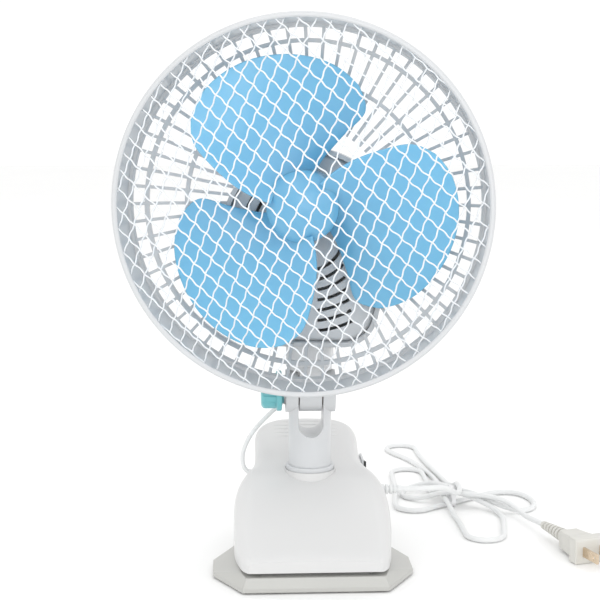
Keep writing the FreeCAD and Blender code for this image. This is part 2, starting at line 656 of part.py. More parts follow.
def stator_core():
    """Laminated ring with four poles around the rotor."""
    core = tube(CORE_R, CORE_R - 6.5, V(0, CORE_Y0, AXIS_Z), V(0, CORE_Y1, AXIS_Z))
    poles = []
    for angle in POLES:
        pole = box(12.0, CORE_R - 5.5, CORE_Y0, CORE_Y1, -5.0, 5.0)
        poles.append(pole.rotated(V(0, 0, 0), ALONG_Y, angle).translated(V(0, 0, AXIS_Z)))
    core = joined([core, *poles]).cut(rod(ROTOR_R + 0.4, V(0, 0, AXIS_Z), V(0, 60, AXIS_Z)))
    for x, z in motor_screw_points():
        core = core.cut(rod(2.0, V(x, 0, z), V(x, 60, z)))
    return core


def stator_coils():
    """One winding on each pole."""
    coils = []
    for angle in POLES:
        coil = box(15.2, 19.2, CORE_Y0 - 3.0, CORE_Y1 + 3.0, -7.4, 7.4)
        coil = coil.cut(box(14.0, 21.0, CORE_Y0, CORE_Y1, -5.0, 5.0))
        coils.append(coil.rotated(V(0, 0, 0), ALONG_Y, angle).translated(V(0, 0, AXIS_Z)))
    return Part.makeCompound(coils)


def bracket(y0, y1, boss_y):
    """A motor end plate with the boss that holds a bush."""
    plate = rod(CORE_R - 0.5, V(0, y0, AXIS_Z), V(0, y1, AXIS_Z))
    boss = rod(9.0, V(0, min(y0, boss_y), AXIS_Z), V(0, max(y1, boss_y), AXIS_Z))
    body = plate.fuse(boss).removeSplitter()
    for x, z in motor_screw_points():
        body = body.cut(rod(2.0, V(x, y0 - 1, z), V(x, y1 + 1, z)))
    for angle in POLES:
        a = math.radians(angle)
        x, z = 17 * math.cos(a), AXIS_Z + 17 * math.sin(a)
        body = body.cut(rod(4.5, V(x, y0 - 1, z), V(x, y1 + 1, z)))
    return body.cut(rod(6.0, V(0, y0 - 20, AXIS_Z), V(0, y1 + 20, AXIS_Z)))


def bush(y0, y1):
    """Sintered bush that the motor shaft runs in."""
    return tube(6.0, SHAFT_R + RUN_FIT, V(0, y0, AXIS_Z), V(0, y1, AXIS_Z))


def motor_screws():
    """Four long screws through the end plates and the core."""
    screws = []
    for x, z in motor_screw_points():
        screws.append(joined([rod(2.0, V(x, BRACKET_Y, z), V(x, 48.0, z)),
                              rod(2.9, V(x, 48.0, z), V(x, 50.2, z))]))
    return Part.makeCompound(screws)


def spacers():
    """Sleeves that keep the end plates off the core."""
    sleeves = []
    for x, z in motor_screw_points():
        for y0, y1 in ((BRACKET_Y + 2, CORE_Y0), (CORE_Y1, 46.0)):
            sleeves.append(tube(2.7, 2.0, V(x, y0, z), V(x, y1, z)))
    return Part.makeCompound(sleeves)


# ---- fan: blade, shaft and rotor ---------------------------------------------------------------
def motor_shaft():
    """Steel shaft through the motor to the blade."""
    return rod(SHAFT_R, V(0, -24.0, AXIS_Z), V(0, 56.0, AXIS_Z))


def rotor():
    """Squirrel-cage rotor on the shaft."""
    return tube(ROTOR_R, SHAFT_R, V(0, CORE_Y0, AXIS_Z), V(0, CORE_Y1, AXIS_Z))


def thrust_washers():
    """A washer on the shaft at each side of the rotor."""
    return Part.makeCompound([
        tube(5.0, SHAFT_R, V(0, CORE_Y0 - 0.8, AXIS_Z), V(0, CORE_Y0, AXIS_Z)),
        tube(5.0, SHAFT_R, V(0, CORE_Y1, AXIS_Z), V(0, CORE_Y1 + 0.8, AXIS_Z))])


# blade outline: (angle from +X towards +Z in degrees, radius), about the blade's middle angle of 107
BLADE_OUTLINE = [
    (75, 18.0), (71, 27.0), (65, 38.6), (61, 50.0), (57.5, 62.0), (58.5, 70.0), (66, 79.5), (79, 87.0),
    (97, 92.0), (115, 94.0), (131, 91.6), (142, 85.5), (150, 75.5), (155.5, 60.0), (160, 48.0),
    (165, 36.0), (168.5, 26.5), (172, 18.0),
]


def helix_edge(radius):
    """A turn of the blade's helicoid at one radius."""
    curve = Part.BSplineCurve()
    points = []
    for k in range(13):
        angle = 50.0 + 128.0 * k / 12
        a = math.radians(angle)
        y = BLADE_MID_Y - (angle - BLADE_MID) * BLADE_LEAD / 360.0
        points.append(V(radius * math.cos(a), y, AXIS_Z + radius * math.sin(a)))
    curve.interpolate(points)
    return curve.toShape()


def blade():
    """One blade: a helicoid trimmed to the blade's outline and given its thickness."""
    sheet = Part.makeRuledSurface(helix_edge(12.0), helix_edge(105.0))
    outline = Part.BSplineCurve()
    outline.interpolate([V(r * math.cos(math.radians(a)), -60, AXIS_Z + r * math.sin(math.radians(a)))
                         for a, r in BLADE_OUTLINE])
    edge = outline.toShape()
    closing = Part.makeLine(edge.Vertexes[-1].Point, edge.Vertexes[0].Point)
    prism = Part.Face(Part.Wire([edge, closing])).extrude(V(0, 80, 0))
    trimmed = sheet.common(prism).Faces[0]
    return trimmed.extrude(V(0, BLADE_THICK, 0))


def fan_blade():
    """Three blades and the domed hub in one moulding."""
    dome = [(HUB_R * math.cos(math.radians(a)), -24.0 - 11.0 * math.sin(math.radians(a)))
            for a in range(0, 91, 15)]
    inner = HUB_R - 2.0
    inside = [(inner * math.cos(math.radians(a)), -24.0 - 9.0 * math.sin(math.radians(a)))
              for a in range(90, -1, -15)]
    hub = turned_y([(HUB_R, 3.0)] + dome[:-1] + [(0.0, -35.0), (0.0, -33.0)] + inside[1:] + [(inner, 3.0)])
    boss = rod(6.5, V(0, -31.0, AXIS_Z), V(0, 4.0, AXIS_Z))
    webs = [box(-0.8, 0.8, -30.0, -2.0, 0, inner + 1).rotated(V(0, 0, 0), ALONG_Y, a).translated(
        V(0, 0, AXIS_Z)) for a in (0, 60, 120, 180, 240, 300)]
    shape = joined([hub, boss, *webs])
    shape = shape.common(turned_y([(0, 10), (HUB_R, 10), (HUB_R, -24)] + dome[1:-1] + [(0, -35)]))
    first = blade().cut(rod(HUB_R - 1.0, V(0, -60, AXIS_Z), V(0, 40, AXIS_Z)))
    blades = [first.rotated(V(0, 0, AXIS_Z), ALONG_Y, a) for a in (0, 120, 240)]
    shape = joined([shape, *blades])
    return shape.cut(rod(SHAFT_R, V(0, -24.0, AXIS_Z), V(0, 20, AXIS_Z)))


# ---- head: guards ------------------------------------------------------------------------------
def front_ring():
    """Round rim of the front guard: a rounded lip, a skirt that narrows to the rear, and four hooks."""
    profile = [
        (RING_R - 3.4, RING_FRONT_Y + 0.6), (RING_R - 2.4, RING_FRONT_Y), (RING_R - 0.9, RING_FRONT_Y),
        (RING_R, RING_FRONT_Y + 1.2), (RING_R, RING_FRONT_Y + 8.0), (RING_R - 1.2, RING_FRONT_Y + 9.2),
        (RING_R - 2.6, RING_REAR_Y), (RING_R - 4.6, RING_REAR_Y), (RING_R - 3.4, RING_FRONT_Y + 8.4),
    ]
    hooks = []
    for angle in HOOK_ANGLES:
        hook = joined([box(RIM_R + 0.15, RING_R - 0.4, RING_REAR_Y - 7, RING_REAR_Y + 5.0, -5.0, 5.0),
                       box(RIM_R - 1.4, RING_R - 0.4, RING_REAR_Y + 3.6, RING_REAR_Y + 5.0, -5.0, 5.0)])
        hooks.append(hook.rotated(V(0, 0, 0), ALONG_Y, -angle).translated(V(0, 0, AXIS_Z)))
    return joined([turned_y(profile), *hooks])


def front_grille():
    """Two crossing families of round wires on a dome, the second laid behind the first."""
    dome_r = (MESH_R ** 2 + MESH_RISE ** 2) / (2 * MESH_RISE)
    centre = V(0, RING_FRONT_Y + 2.5 - MESH_RISE + dome_r, AXIS_Z)
    wires = []
    for direction, pitch, radius in GRILLE_FAMILIES:
        along = V(math.cos(direction), 0, math.sin(direction))
        cross = V(-math.sin(direction), 0, math.cos(direction))
        count = int((MESH_R - 1.0) / pitch)
        for k in range(-count, count + 1):
            offset = k * pitch
            reach = math.sqrt(MESH_R ** 2 - offset ** 2)
            circle_r = math.sqrt((dome_r + radius) ** 2 - offset ** 2)
            span = math.degrees(math.asin(reach / circle_r))
            middle = centre + cross * offset
            disc = Part.Face(Part.Wire(Part.makeCircle(WIRE_R, middle + V(0, -circle_r, 0), along)))
            disc = disc.rotated(middle, cross, -span)
            wires.append(disc.revolve(middle, cross, 2 * span))
    return Part.makeCompound(wires)


def rib_profile():
    """One rib of the rear guard in its radial plane, as (radius, y) points."""
    return [(48.0, 9.4), (60.0, 9.2), (74.0, 7.4), (88.0, 4.0), (99.0, -0.6), (106.0, -4.6), (109.6, -8.0),
            (111.8, -8.0), (108.4, -2.8), (101.0, 1.8), (89.0, 6.4), (74.5, 9.9), (60.0, 11.8), (48.0, 12.0)]


def rear_guard():
    """Moulded rear guard: ribs between an egg-shaped inner frame and the rim, tied by two rings."""
    rib_points = [V(r, y, 0) for r, y in rib_profile()]
    face = Part.Face(Part.makePolygon(rib_points + rib_points[:1]))
    rib = face.extrude(V(0, 0, 1.9)).translated(V(0, 0, -0.95))
    frame_outer = egg_prism(8.6, 20.0, 3.0)
    ribs = []
    for k in range(RIB_COUNT):
        placed = rib.rotated(V(0, 0, 0), ALONG_Y, 360.0 * k / RIB_COUNT).translated(V(0, 0, AXIS_Z))
        ribs.append(placed)
    rings = [
        turned_y([(74.8, 7.2), (77.2, 6.6), (77.2, 9.2), (74.8, 9.8)]),
        turned_y([(98.8, -0.5), (101.2, -1.9), (101.2, 1.5), (98.8, 2.9)]),
        turned_y([(108.6, -8.0), (RIM_R, -8.0), (RIM_R, -5.4), (109.4, -4.6), (107.6, -4.6)]),
    ]
    body = rings[0].multiFuse([*rings[1:], *ribs, frame_outer])
    body = body.cut(egg_prism(0.0, 40.0)).cut(screw_ways())
    body = body.cut(box(-14.8, 14.8, COLUMN_Y - 14.8, 30.0, 130.0, EGG_FOOT_Z))
    return max(body.Solids, key=lambda s: s.Volume)


def guard_screws():
    """Three screws that hold the rear guard's frame on the motor housing, square to its side."""
    screws = []
    for angle in (0, 90, 180):
        shank = rod(1.3, V(EGG_R - 4.0, 17.0, 0), V(EGG_R + 3.2, 17.0, 0))
        head = rod(2.6, V(EGG_R + 3.0, 17.0, 0), V(EGG_R + 4.2, 17.0, 0))
        cross = box(EGG_R + 3.7, EGG_R + 5, 16.7, 17.3, -1.8, 1.8)
        screw = joined([shank, head]).cut(cross)
        screws.append(screw.rotated(V(0, 0, 0), ALONG_Y, -angle).translated(V(0, 0, EGG_CENTRE_Z)))
    return Part.makeCompound(screws)


def screw_ways():
    """The holes of the guard's three screws."""
    ways = []
    for angle in (0, 90, 180):
        way = rod(1.3, V(EGG_R - 8.0, 17.0, 0), V(EGG_R + 6.0, 17.0, 0))
        ways.append(way.rotated(V(0, 0, 0), ALONG_Y, -angle).translated(V(0, 0, EGG_CENTRE_Z)))
    return Part.makeCompound(ways)


# ---- cords -------------------------------------------------------------------------------------
def cord_tube(points, radius, name):
    """A round tube along straight runs joined by tangent arcs, each as large as its runs allow."""
    edges = []
    radii = []
    start = points[0]
    for before, corner, after in zip(points, points[1:], points[2:]):
        back, ahead = before.sub(corner), after.sub(corner)
        half_turn = (math.pi - back.getAngle(ahead)) / 2
        bend = 0.45 * min(back.Length, ahead.Length) / math.tan(half_turn)
        arc, first, last = corner_arc(before, corner, after, bend)
        edges += [Part.makeLine(start, first), arc]
        radii.append(round(bend, 1))
        start = last
    edges.append(Part.makeLine(start, points[-1]))
    path = Part.Wire(edges)
    profile = Part.Wire(Part.makeCircle(radius, points[0], points[1].sub(points[0])))
    solid = path.makePipeShell([profile], True, True)
    print(name, "radii", radii, "volume share",
          round(solid.Volume / (math.pi * radius ** 2 * path.Length), 4), "length", round(path.Length, 1))
    return solid


HEAD_LEAD = [
    V(0, 42.5, LEAD_EXIT_Z), V(0, 52, 118), V(-6, 59, 110), V(-16, 60, 98), V(-29, 58, 87), V(-39, 55, 76),
    V(-43.8, 52.3, 66), V(-44.3, 50.5, 57.6), V(-41.4, GLAND_SIDE_Y, 52.1), V(-36.0, GLAND_SIDE_Y, GLAND_SIDE_Z),
]

MAINS_START = [
    V(CORD_EXIT_X, CORD_GLAND_Y, CORD_GLAND_Z), V(72.5, CORD_GLAND_Y, CORD_GLAND_Z), V(81.8, 41.8, 41.4),
    V(89, 49.2, 39.5), V(95, 60, 36), V(100.5, 73, 31), V(105, 87, 24.5), V(109, 101, 18.5), V(113, 114.5, 13.5),
    V(116.3, 126, 10.6), V(117.5, TIE_Y - 7.5, 10),
]

MAINS_TAIL = [
    V(156, 103.6, 6.0), V(159.2, 93.8, 5.2), V(161.4, 84, 5.2), V(162.6, 73, 6.8), PLUG_FROM,
]

# outlines of the bundle's loops on the floor, and their height
HANK_LOBES = [
    ([(70, 128), (78, 120), (92, 128), (105, 137), (105, 147), (108, 200), (106, 232), (97, 247), (86, 222),
      (76, 175)], 12.0),
    ([(120, 136), (140, 108), (148, 101), (164, 106.2), (175, 112), (181, 130), (180, 160), (170, 190), (150, 186),
      (120, 148)], 10.0),
    ([(116, 138), (113, 96), (112, 62), (118, 47), (131, 58), (142, 92), (148, 118), (138, 132)], 6.0),
    ([(106, 146), (122, 148), (119, 196), (112, 240), (101, 318), (94, 322), (88, 316), (97, 260), (104, 200)], 6.0),
]


def flat_block(outline, low, high):
    """An (x, y) outline raised from low to high."""
    points = [V(x, y, low) for x, y in outline]
    return Part.Face(Part.makePolygon(points + points[:1])).extrude(V(0, 0, high - low))


def cord_hank():
    """Outer shape of the tied bundle of cord: a narrow waist with loops lying round it."""
    waist = box(TIE_X - 8, TIE_X + 8, TIE_Y - 7.5, TIE_Y + 7.5, HANK_LOW, 13.0)
    bundle = joined([waist, *[flat_block(outline, HANK_LOW, top) for outline, top in HANK_LOBES]])
    return bundle.cut(cord_tie())


def cord_tie():
    """Tie wrapped round the bundle's waist."""
    outer = box(TIE_X - 2.0, TIE_X + 2.0, TIE_Y - 8.2, TIE_Y + 8.2, 0.0, 13.7)
    return outer.cut(box(TIE_X - 3, TIE_X + 3, TIE_Y - 7.5, TIE_Y + 7.5, HANK_LOW, 13.0))


# ---- plug --------------------------------------------------------------------------------------


def plug_frame(shape):
    """Lays a piece drawn along +X, with its cord end at the origin, where the plug lies."""
    angle = math.degrees(math.atan2(PLUG_ALONG.y, PLUG_ALONG.x))
    return shape.rotated(V(0, 0, 0), UP, angle).translated(PLUG_FROM)


def plug_relief():
    """Ribbed, tapered tail of the plug."""
    body = Part.makeCone(CORD_R + 0.9, 4.8, RELIEF_LENGTH, V(0, 0, 0), ALONG_X)
    for k in range(6):
        x = 3.0 + 4.1 * k
        body = body.cut(tube(8.0, CORD_R + 0.4, V(x, 0, 0), V(x + 1.5, 0, 0)))
    return plug_frame(body)


def plug_body():
    """Moulded plug: a flat-sided grip that swells to the face."""
    sections = []
    for ahead, half_y, half_z in ((0.0, 5.4, 4.8), (5.0, 7.8, 6.2), (15.0, 9.4, 7.2), (27.0, 11.6, 8.3),
                                  (32.0, 12.4, 8.4)):
        x = RELIEF_LENGTH + ahead
        outline = Part.makePolygon([V(x, s * half_y, t * half_z) for s, t in
                                    ((-1, -0.5), (-0.6, -1), (0.6, -1), (1, -0.5),
                                     (1, 0.5), (0.6, 1), (-0.6, 1), (-1, 0.5), (-1, -0.5))])
        sections.append(outline)
    return plug_frame(loft(sections, True))


def plug_prongs():
    """Two flat prongs, 12.7 mm apart."""
    prongs = []
    for side in (-1, 1):
        y = side * 6.35
        face = RELIEF_LENGTH + 32.0
        prong = box(face, face + 16.5, y - 0.75, y + 0.75, -3.15, 3.15)
        prongs.append(prong.cut(rod(1.6, V(face + 12.5, y - 2, 0), V(face + 12.5, y + 2, 0))))
    return plug_frame(Part.makeCompound(prongs))


# ---- files -------------------------------------------------------------------------------------
def nodes():
    """Every sub-part by its file's name."""
    still = {
        "lower_jaw": lower_jaw(),
        "foot_pad": foot_pad(),
        "lower_jaw_pad": grooved_pad(PLATE_TOP, 11.0, 11.0, -38.0, -14.0, 34.0),
        "hinge_pin": hinge_pin(),
        "jaw_spring": jaw_spring(),
        "base_shell": base_shell(),
        "base_cover": base_cover(),
        "upper_jaw_pad": grooved_pad(11.3, 12.5, 11.3, -38.0, -14.0, 30.0),
        "cover_screws": cover_screws(),
        "column": column(),
        "column_collar": column_collar(),
        "column_screw": column_screw(),
        "column_washer": column_washer(),
        "tilt_bolt": tilt_bolt(),
        "friction_washers": friction_washers(),
        "knob_washer": knob_washer(),
        "lead_grommet": lead_grommet(),
        "cord_relief": cord_relief(),
        "rocker_housing": rocker_housing(),
        "rocker": rocker(),
        "wire_caps": wire_caps(),
        "tilt_knob": tilt_knob(),
        "knob_nut": knob_nut(),
        "tilt_tongue": tilt_tongue(),
        "neck_bush": neck_bush(),
        "swivel_washer": swivel_washer(),
        "swivel_rivet": swivel_rivet(),
        "head_lead": cord_tube(HEAD_LEAD, LEAD_R, "head_lead"),
        "mains_cord_start": cord_tube(MAINS_START, CORD_R, "mains_cord_start"),
        "mains_cord_tail": cord_tube(MAINS_TAIL, CORD_R, "mains_cord_tail"),
        "cord_hank": cord_hank(),
        "cord_tie": cord_tie(),
        "plug_relief": plug_relief(),
        "plug_body": plug_body(),
        "plug_prongs": plug_prongs(),
    }
    head = {
        "neck_socket": neck_socket(),
        "motor_front_cover": motor_front_cover(),
        "motor_rear_cover": motor_rear_cover(),
        "rear_cover_screws": rear_cover_screws(),
        "stator_core": stator_core(),
        "stator_coils": stator_coils(),
        "front_bracket": bracket(BRACKET_Y, BRACKET_Y + 2.0, BRACKET_Y + 5.0),
        "rear_bracket": bracket(46.0, 48.0, 52.0),
        "front_bush": bush(BRACKET_Y, BRACKET_Y + 5.0),
        "rear_bush": bush(46.0, 52.0),
        "motor_screws": motor_screws(),
        "spacer_sleeves": spacers(),
        "motor_shaft": motor_shaft(),
        "rotor": rotor(),
        "thrust_washers": thrust_washers(),
        "fan_blade": fan_blade(),
        "front_ring": front_ring(),
        "front_grille": front_grille(),
        "rear_guard": rear_guard(),
        "guard_screws": guard_screws(),
    }
    return {**still, **{name: turned_head(shape) for name, shape in head.items()}}


os.makedirs("parts", exist_ok=True)
for name, shape in nodes().items():
    if not shape.isValid() or any(s.Volume <= 0 for s in shape.Solids) or not shape.Solids:
        print("PROBLEM", name, shape.isValid(), len(shape.Solids))
    shape.exportStep(f"parts/{name}.step")
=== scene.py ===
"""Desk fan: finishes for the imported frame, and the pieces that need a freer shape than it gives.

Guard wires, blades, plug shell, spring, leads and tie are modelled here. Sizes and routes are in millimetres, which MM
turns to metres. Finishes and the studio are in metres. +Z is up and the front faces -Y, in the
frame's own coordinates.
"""

import logging
import math
from dataclasses import dataclass, field
from enum import Enum

import bpy
from mathutils import Matrix, Vector

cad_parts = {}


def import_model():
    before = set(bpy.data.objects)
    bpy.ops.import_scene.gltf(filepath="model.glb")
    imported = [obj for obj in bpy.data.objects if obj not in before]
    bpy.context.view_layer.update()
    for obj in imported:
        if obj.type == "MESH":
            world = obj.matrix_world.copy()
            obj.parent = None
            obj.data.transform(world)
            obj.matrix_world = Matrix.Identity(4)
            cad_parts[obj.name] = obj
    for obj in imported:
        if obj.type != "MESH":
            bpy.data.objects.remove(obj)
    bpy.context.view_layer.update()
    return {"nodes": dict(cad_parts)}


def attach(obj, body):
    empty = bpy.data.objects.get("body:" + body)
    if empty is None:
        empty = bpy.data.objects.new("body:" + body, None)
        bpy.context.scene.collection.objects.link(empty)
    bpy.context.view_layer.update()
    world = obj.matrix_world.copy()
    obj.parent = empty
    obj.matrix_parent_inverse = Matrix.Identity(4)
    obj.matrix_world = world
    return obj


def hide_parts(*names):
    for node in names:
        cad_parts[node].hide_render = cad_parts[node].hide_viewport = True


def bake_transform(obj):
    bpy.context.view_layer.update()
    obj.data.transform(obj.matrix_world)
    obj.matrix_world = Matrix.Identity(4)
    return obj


MM = 0.001
LOG = logging.getLogger("desk_fan")

Point = tuple[float, float, float]
Colour = tuple[float, float, float]

AXIS_Z = 235.0
COLUMN_Y = 28.0
HEAD_YAW = -8.4


def head_turn() -> Matrix:
    """Gives the turn that brings a piece drawn straight ahead to the head's rest direction."""
    pivot = Vector((0.0, COLUMN_Y * MM, 0.0))
    return Matrix.Translation(pivot) @ Matrix.Rotation(math.radians(HEAD_YAW), 4, "Z") @ Matrix.Translation(-pivot)


# ---- shader sums -------------------------------------------------------------------------------
class Signal:
    """A node's output that can be used in sums."""

    def __init__(self, shader: "Shader", socket: bpy.types.NodeSocket) -> None:
        """Holds the socket and the shader that it belongs to."""
        self.shader = shader
        self.socket = socket

    def _sum(self, operation: str, first: "Signal | float", second: "Signal | float") -> "Signal":
        """Adds one Math node."""
        return self.shader.node("ShaderNodeMath", {"operation": operation}, {0: first, 1: second})

    def __add__(self, other: "Signal | float") -> "Signal":
        """Adds."""
        return self._sum("ADD", self, other)

    def __radd__(self, other: float) -> "Signal":
        """Adds to a number."""
        return self._sum("ADD", other, self)

    def __sub__(self, other: "Signal | float") -> "Signal":
        """Subtracts."""
        return self._sum("SUBTRACT", self, other)

    def __rsub__(self, other: float) -> "Signal":
        """Subtracts from a number."""
        return self._sum("SUBTRACT", other, self)

    def __mul__(self, other: "Signal | float") -> "Signal":
        """Multiplies."""
        return self._sum("MULTIPLY", self, other)

    def __rmul__(self, other: float) -> "Signal":
        """Multiplies a number."""
        return self._sum("MULTIPLY", other, self)

    def __truediv__(self, other: "Signal | float") -> "Signal":
        """Divides."""
        return self._sum("DIVIDE", self, other)


class Shader:
    """A material and the few ways that this file adds nodes to it."""

    def __init__(self, name: str) -> None:
        """Starts a material with its principled shader.

        Args:
            name: The material's name.
        """
        self.material = bpy.data.materials.new(name)
        self.material.use_nodes = True
        self.tree = self.material.node_tree
        self.surface = self.tree.nodes["Principled BSDF"]
        self.place = self.node("ShaderNodeTexCoord", output="Object")

    def node(self, kind: str, settings: dict | None = None, inputs: dict | None = None,
             output: int | str = 0) -> Signal:
        """Adds a node.

        Args:
            kind: The node's type.
            settings: Its settings; "stops" fills a colour ramp with (place, colour) pairs.
            inputs: Values or signals for its sockets, by name or number.
            output: The output that is wanted.

        Returns:
            That output.
        """
        made = self.tree.nodes.new(kind)
        for key, value in (settings or {}).items():
            if key == "stops":
                ramp = made.color_ramp.elements
                while len(ramp) < len(value):
                    ramp.new(0.5)
                for element, (position, colour) in zip(ramp, value):
                    element.position = position
                    element.color = (*colour, 1.0)
            else:
                setattr(made, key, value)
        for key, value in (inputs or {}).items():
            self.feed(made.inputs[key], value)
        return Signal(self, made.outputs[output])

    def feed(self, socket: bpy.types.NodeSocket, value: object) -> None:
        """Links a signal to a socket, or sets the socket's value.

        Args:
            socket: The socket to fill.
            value: A signal, or a value of the socket's own kind.
        """
        if isinstance(value, Signal):
            self.tree.links.new(value.socket, socket)
        else:
            socket.default_value = value

    def noise(self, scale: float, detail: float = 2.0, stretch: Point = (1.0, 1.0, 1.0)) -> Signal:
        """Gives noise of so many features per metre, drawn out along an axis by a stretch below 1."""
        place = self.node("ShaderNodeVectorMath", {"operation": "MULTIPLY"}, {0: self.place, 1: stretch})
        return self.node("ShaderNodeTexNoise", None,
                         {"Vector": place, "Scale": scale, "Detail": detail, "Roughness": 0.55})

    def mix(self, factor: "Signal | float", first: object, second: object) -> Signal:
        """Mixes two colours.

        Args:
            factor: The share of the second colour.
            first: A colour or a signal.
            second: A colour or a signal.

        Returns:
            The mixed colour.
        """
        made = self.tree.nodes.new("ShaderNodeMix")
        made.data_type = "RGBA"
        self.feed(made.inputs["Factor"], factor)
        self.feed(made.inputs[6], first if isinstance(first, Signal) else (*first, 1.0))
        self.feed(made.inputs[7], second if isinstance(second, Signal) else (*second, 1.0))
        return Signal(self, made.outputs[2])

    def set(self, **values: object) -> None:
        """Feeds the principled shader's sockets; an underscore stands for a space in a name."""
        for key, value in values.items():
            self.feed(self.surface.inputs[key.replace("_", " ")], value)


# ---- finishes ----------------------------------------------------------------------------------
class Lay(Enum):
    """Which way a finish's marks run."""

    EVEN = (1.0, 1.0, 1.0)
    ALONG_X = (0.04, 1.0, 1.0)
    ALONG_Y = (1.0, 0.04, 1.0)
    SHEETS = (0.03, 1.0, 0.03)


@dataclass(frozen=True)
class Finish:
    """A surface with a slow drift of colour, a fine grain and softened edges."""

    name: str
    colour: Colour
    drift_colour: Colour
    roughness: float = 0.35
    roughness_spread: float = 0.08
    drift_scale: float = 18.0
    grain_scale: float = 1400.0
    grain_depth: float = 0.00002
    edge: float = 0.0005
    metallic: float = 0.0
    coat: float = 0.0
    glow_through: float = 0.0
    lay: Lay = Lay.EVEN

    def tint(self, shader: Shader) -> Signal:
        """Gives the base colour with its drift."""
        drift = shader.noise(self.drift_scale, 3.0, self.lay.value)
        return shader.mix(drift, self.colour, self.drift_colour)

    def relief(self, shader: Shader) -> Signal:
        """Gives the height that the bump reads."""
        return shader.noise(self.grain_scale, 2.0, self.lay.value)

    def material(self) -> bpy.types.Material:
        """Builds the material.

        Returns:
            The material.
        """
        shader = Shader(self.name)
        soft_edge = shader.node("ShaderNodeBevel", {"samples": 4}, {"Radius": self.edge})
        bump = shader.node("ShaderNodeBump", None, {
            "Strength": 0.6, "Distance": self.grain_depth, "Height": self.relief(shader), "Normal": soft_edge})
        smear = shader.noise(self.drift_scale * 3.0, 4.0)
        shader.set(
            Base_Color=self.tint(shader),
            Roughness=smear * self.roughness_spread + (self.roughness - self.roughness_spread / 2),
            Metallic=self.metallic,
            Coat_Weight=self.coat,
            Coat_Roughness=0.12,
            Normal=bump,
        )
        if self.glow_through > 0.0:
            shader.set(Subsurface_Weight=self.glow_through, Subsurface_Scale=0.004,
                       Subsurface_Radius=(0.5, 0.8, 1.0))
        return shader.material


@dataclass(frozen=True)
class BladeFinish(Finish):
    """Tinted blade plastic: paler towards the tips, deeper round the hub."""

    tip_colour: Colour = (0.18, 0.51, 0.75)
    cloud_scale: float = 26.0
    # the blades' middle, the reach where they start to pale and the width that it takes
    middle: Point = (-0.006, -0.014, AXIS_Z * MM)
    depth_share: float = 0.3
    deep_reach: float = 0.018
    fade_span: float = 0.075
    reach_share: float = 0.85
    cloud_share: float = 0.22

    def tint(self, shader: Shader) -> Signal:
        """Gives a colour that lightens with the distance from the spin axis.

        Args:
            shader: The material that gets the nodes.

        Returns:
            The colour.
        """
        centred = shader.node("ShaderNodeVectorMath", {"operation": "SUBTRACT"},
                              {0: shader.place, 1: self.middle})
        flat = shader.node("ShaderNodeVectorMath", {"operation": "MULTIPLY"},
                           {0: centred, 1: (1.0, self.depth_share, 1.0)})
        reach = shader.node("ShaderNodeVectorMath", {"operation": "LENGTH"}, {0: flat}, output="Value")
        wide = (reach - self.deep_reach) * (1.0 / self.fade_span)
        cloud = shader.noise(self.cloud_scale, 3.0)
        factor = shader.node("ShaderNodeMath", {"operation": "MULTIPLY_ADD", "use_clamp": True},
                             {0: cloud, 1: self.cloud_share, 2: wide * self.reach_share})
        return shader.mix(factor, self.colour, self.tip_colour)


@dataclass(frozen=True)
class WoundFinish(Finish):
    """Enamelled wire laid side by side."""

    turns_scale: float = 260.0

    def relief(self, shader: Shader) -> Signal:
        """Gives the ripple of the turns."""
        return shader.node("ShaderNodeTexWave", {"wave_type": "BANDS", "bands_direction": "Y"},
                           {"Vector": shader.place, "Scale": self.turns_scale, "Distortion": 0.6})


WHITE = Finish("guard_white", (0.61, 0.62, 0.63), (0.58, 0.595, 0.61), 0.30, 0.08, coat=0.15)
BODY_WHITE = Finish("body_white", (0.67, 0.67, 0.665), (0.645, 0.645, 0.645), 0.32, 0.09, 14.0, coat=0.12)
FOOT_WHITE = Finish("foot_white", (0.50, 0.50, 0.475), (0.47, 0.47, 0.45), 0.34, 0.09, 16.0, edge=0.0009, coat=0.1)
HOUSING = Finish("housing_white", (0.70, 0.71, 0.72), (0.67, 0.68, 0.69), 0.48, 0.08, 16.0, 1100.0, 0.00007)
KNOB = Finish("knob_turquoise", (0.17, 0.50, 0.54), (0.14, 0.46, 0.50), 0.33, 0.08, 40.0, edge=0.0004, coat=0.15)
BLADE = BladeFinish("blade_blue", (0.16, 0.44, 0.67), (0.18, 0.47, 0.70), 0.22, 0.07, 20.0, coat=0.3,
                    glow_through=0.25)
WIRE = Finish("dipped_wire", (0.86, 0.88, 0.90), (0.82, 0.84, 0.86), 0.34, 0.1, 60.0, 1800.0, 0.00003, 0.0001,
              coat=0.2)
PLATED = Finish("plated_steel", (0.56, 0.56, 0.57), (0.50, 0.50, 0.52), 0.28, 0.14, 90.0, 2400.0, 0.000012, 0.0002,
                metallic=1.0)
DRAWN = Finish("drawn_steel", (0.36, 0.36, 0.37), (0.30, 0.30, 0.31), 0.36, 0.14, 200.0, 3000.0, 0.000015, 0.0001,
               metallic=1.0, lay=Lay.ALONG_X)
GROUND = Finish("ground_steel", (0.60, 0.60, 0.61), (0.54, 0.54, 0.56), 0.20, 0.12, 300.0, 5000.0, 0.000008, 0.0002,
                metallic=1.0, lay=Lay.ALONG_Y)
CORE = Finish("laminated_core", (0.20, 0.20, 0.21), (0.13, 0.13, 0.14), 0.45, 0.2, 1500.0, 1500.0, 0.00008, 0.0001,
              metallic=0.9, lay=Lay.SHEETS)
COPPER = WoundFinish("enamelled_copper", (0.46, 0.15, 0.05), (0.38, 0.11, 0.04), 0.3, 0.12, 80.0, grain_depth=0.0002,
                     metallic=0.85, coat=0.4)
BRONZE = Finish("sintered_bronze", (0.42, 0.27, 0.11), (0.33, 0.20, 0.08), 0.5, 0.16, 400.0, 2500.0, 0.00003,
                metallic=1.0)
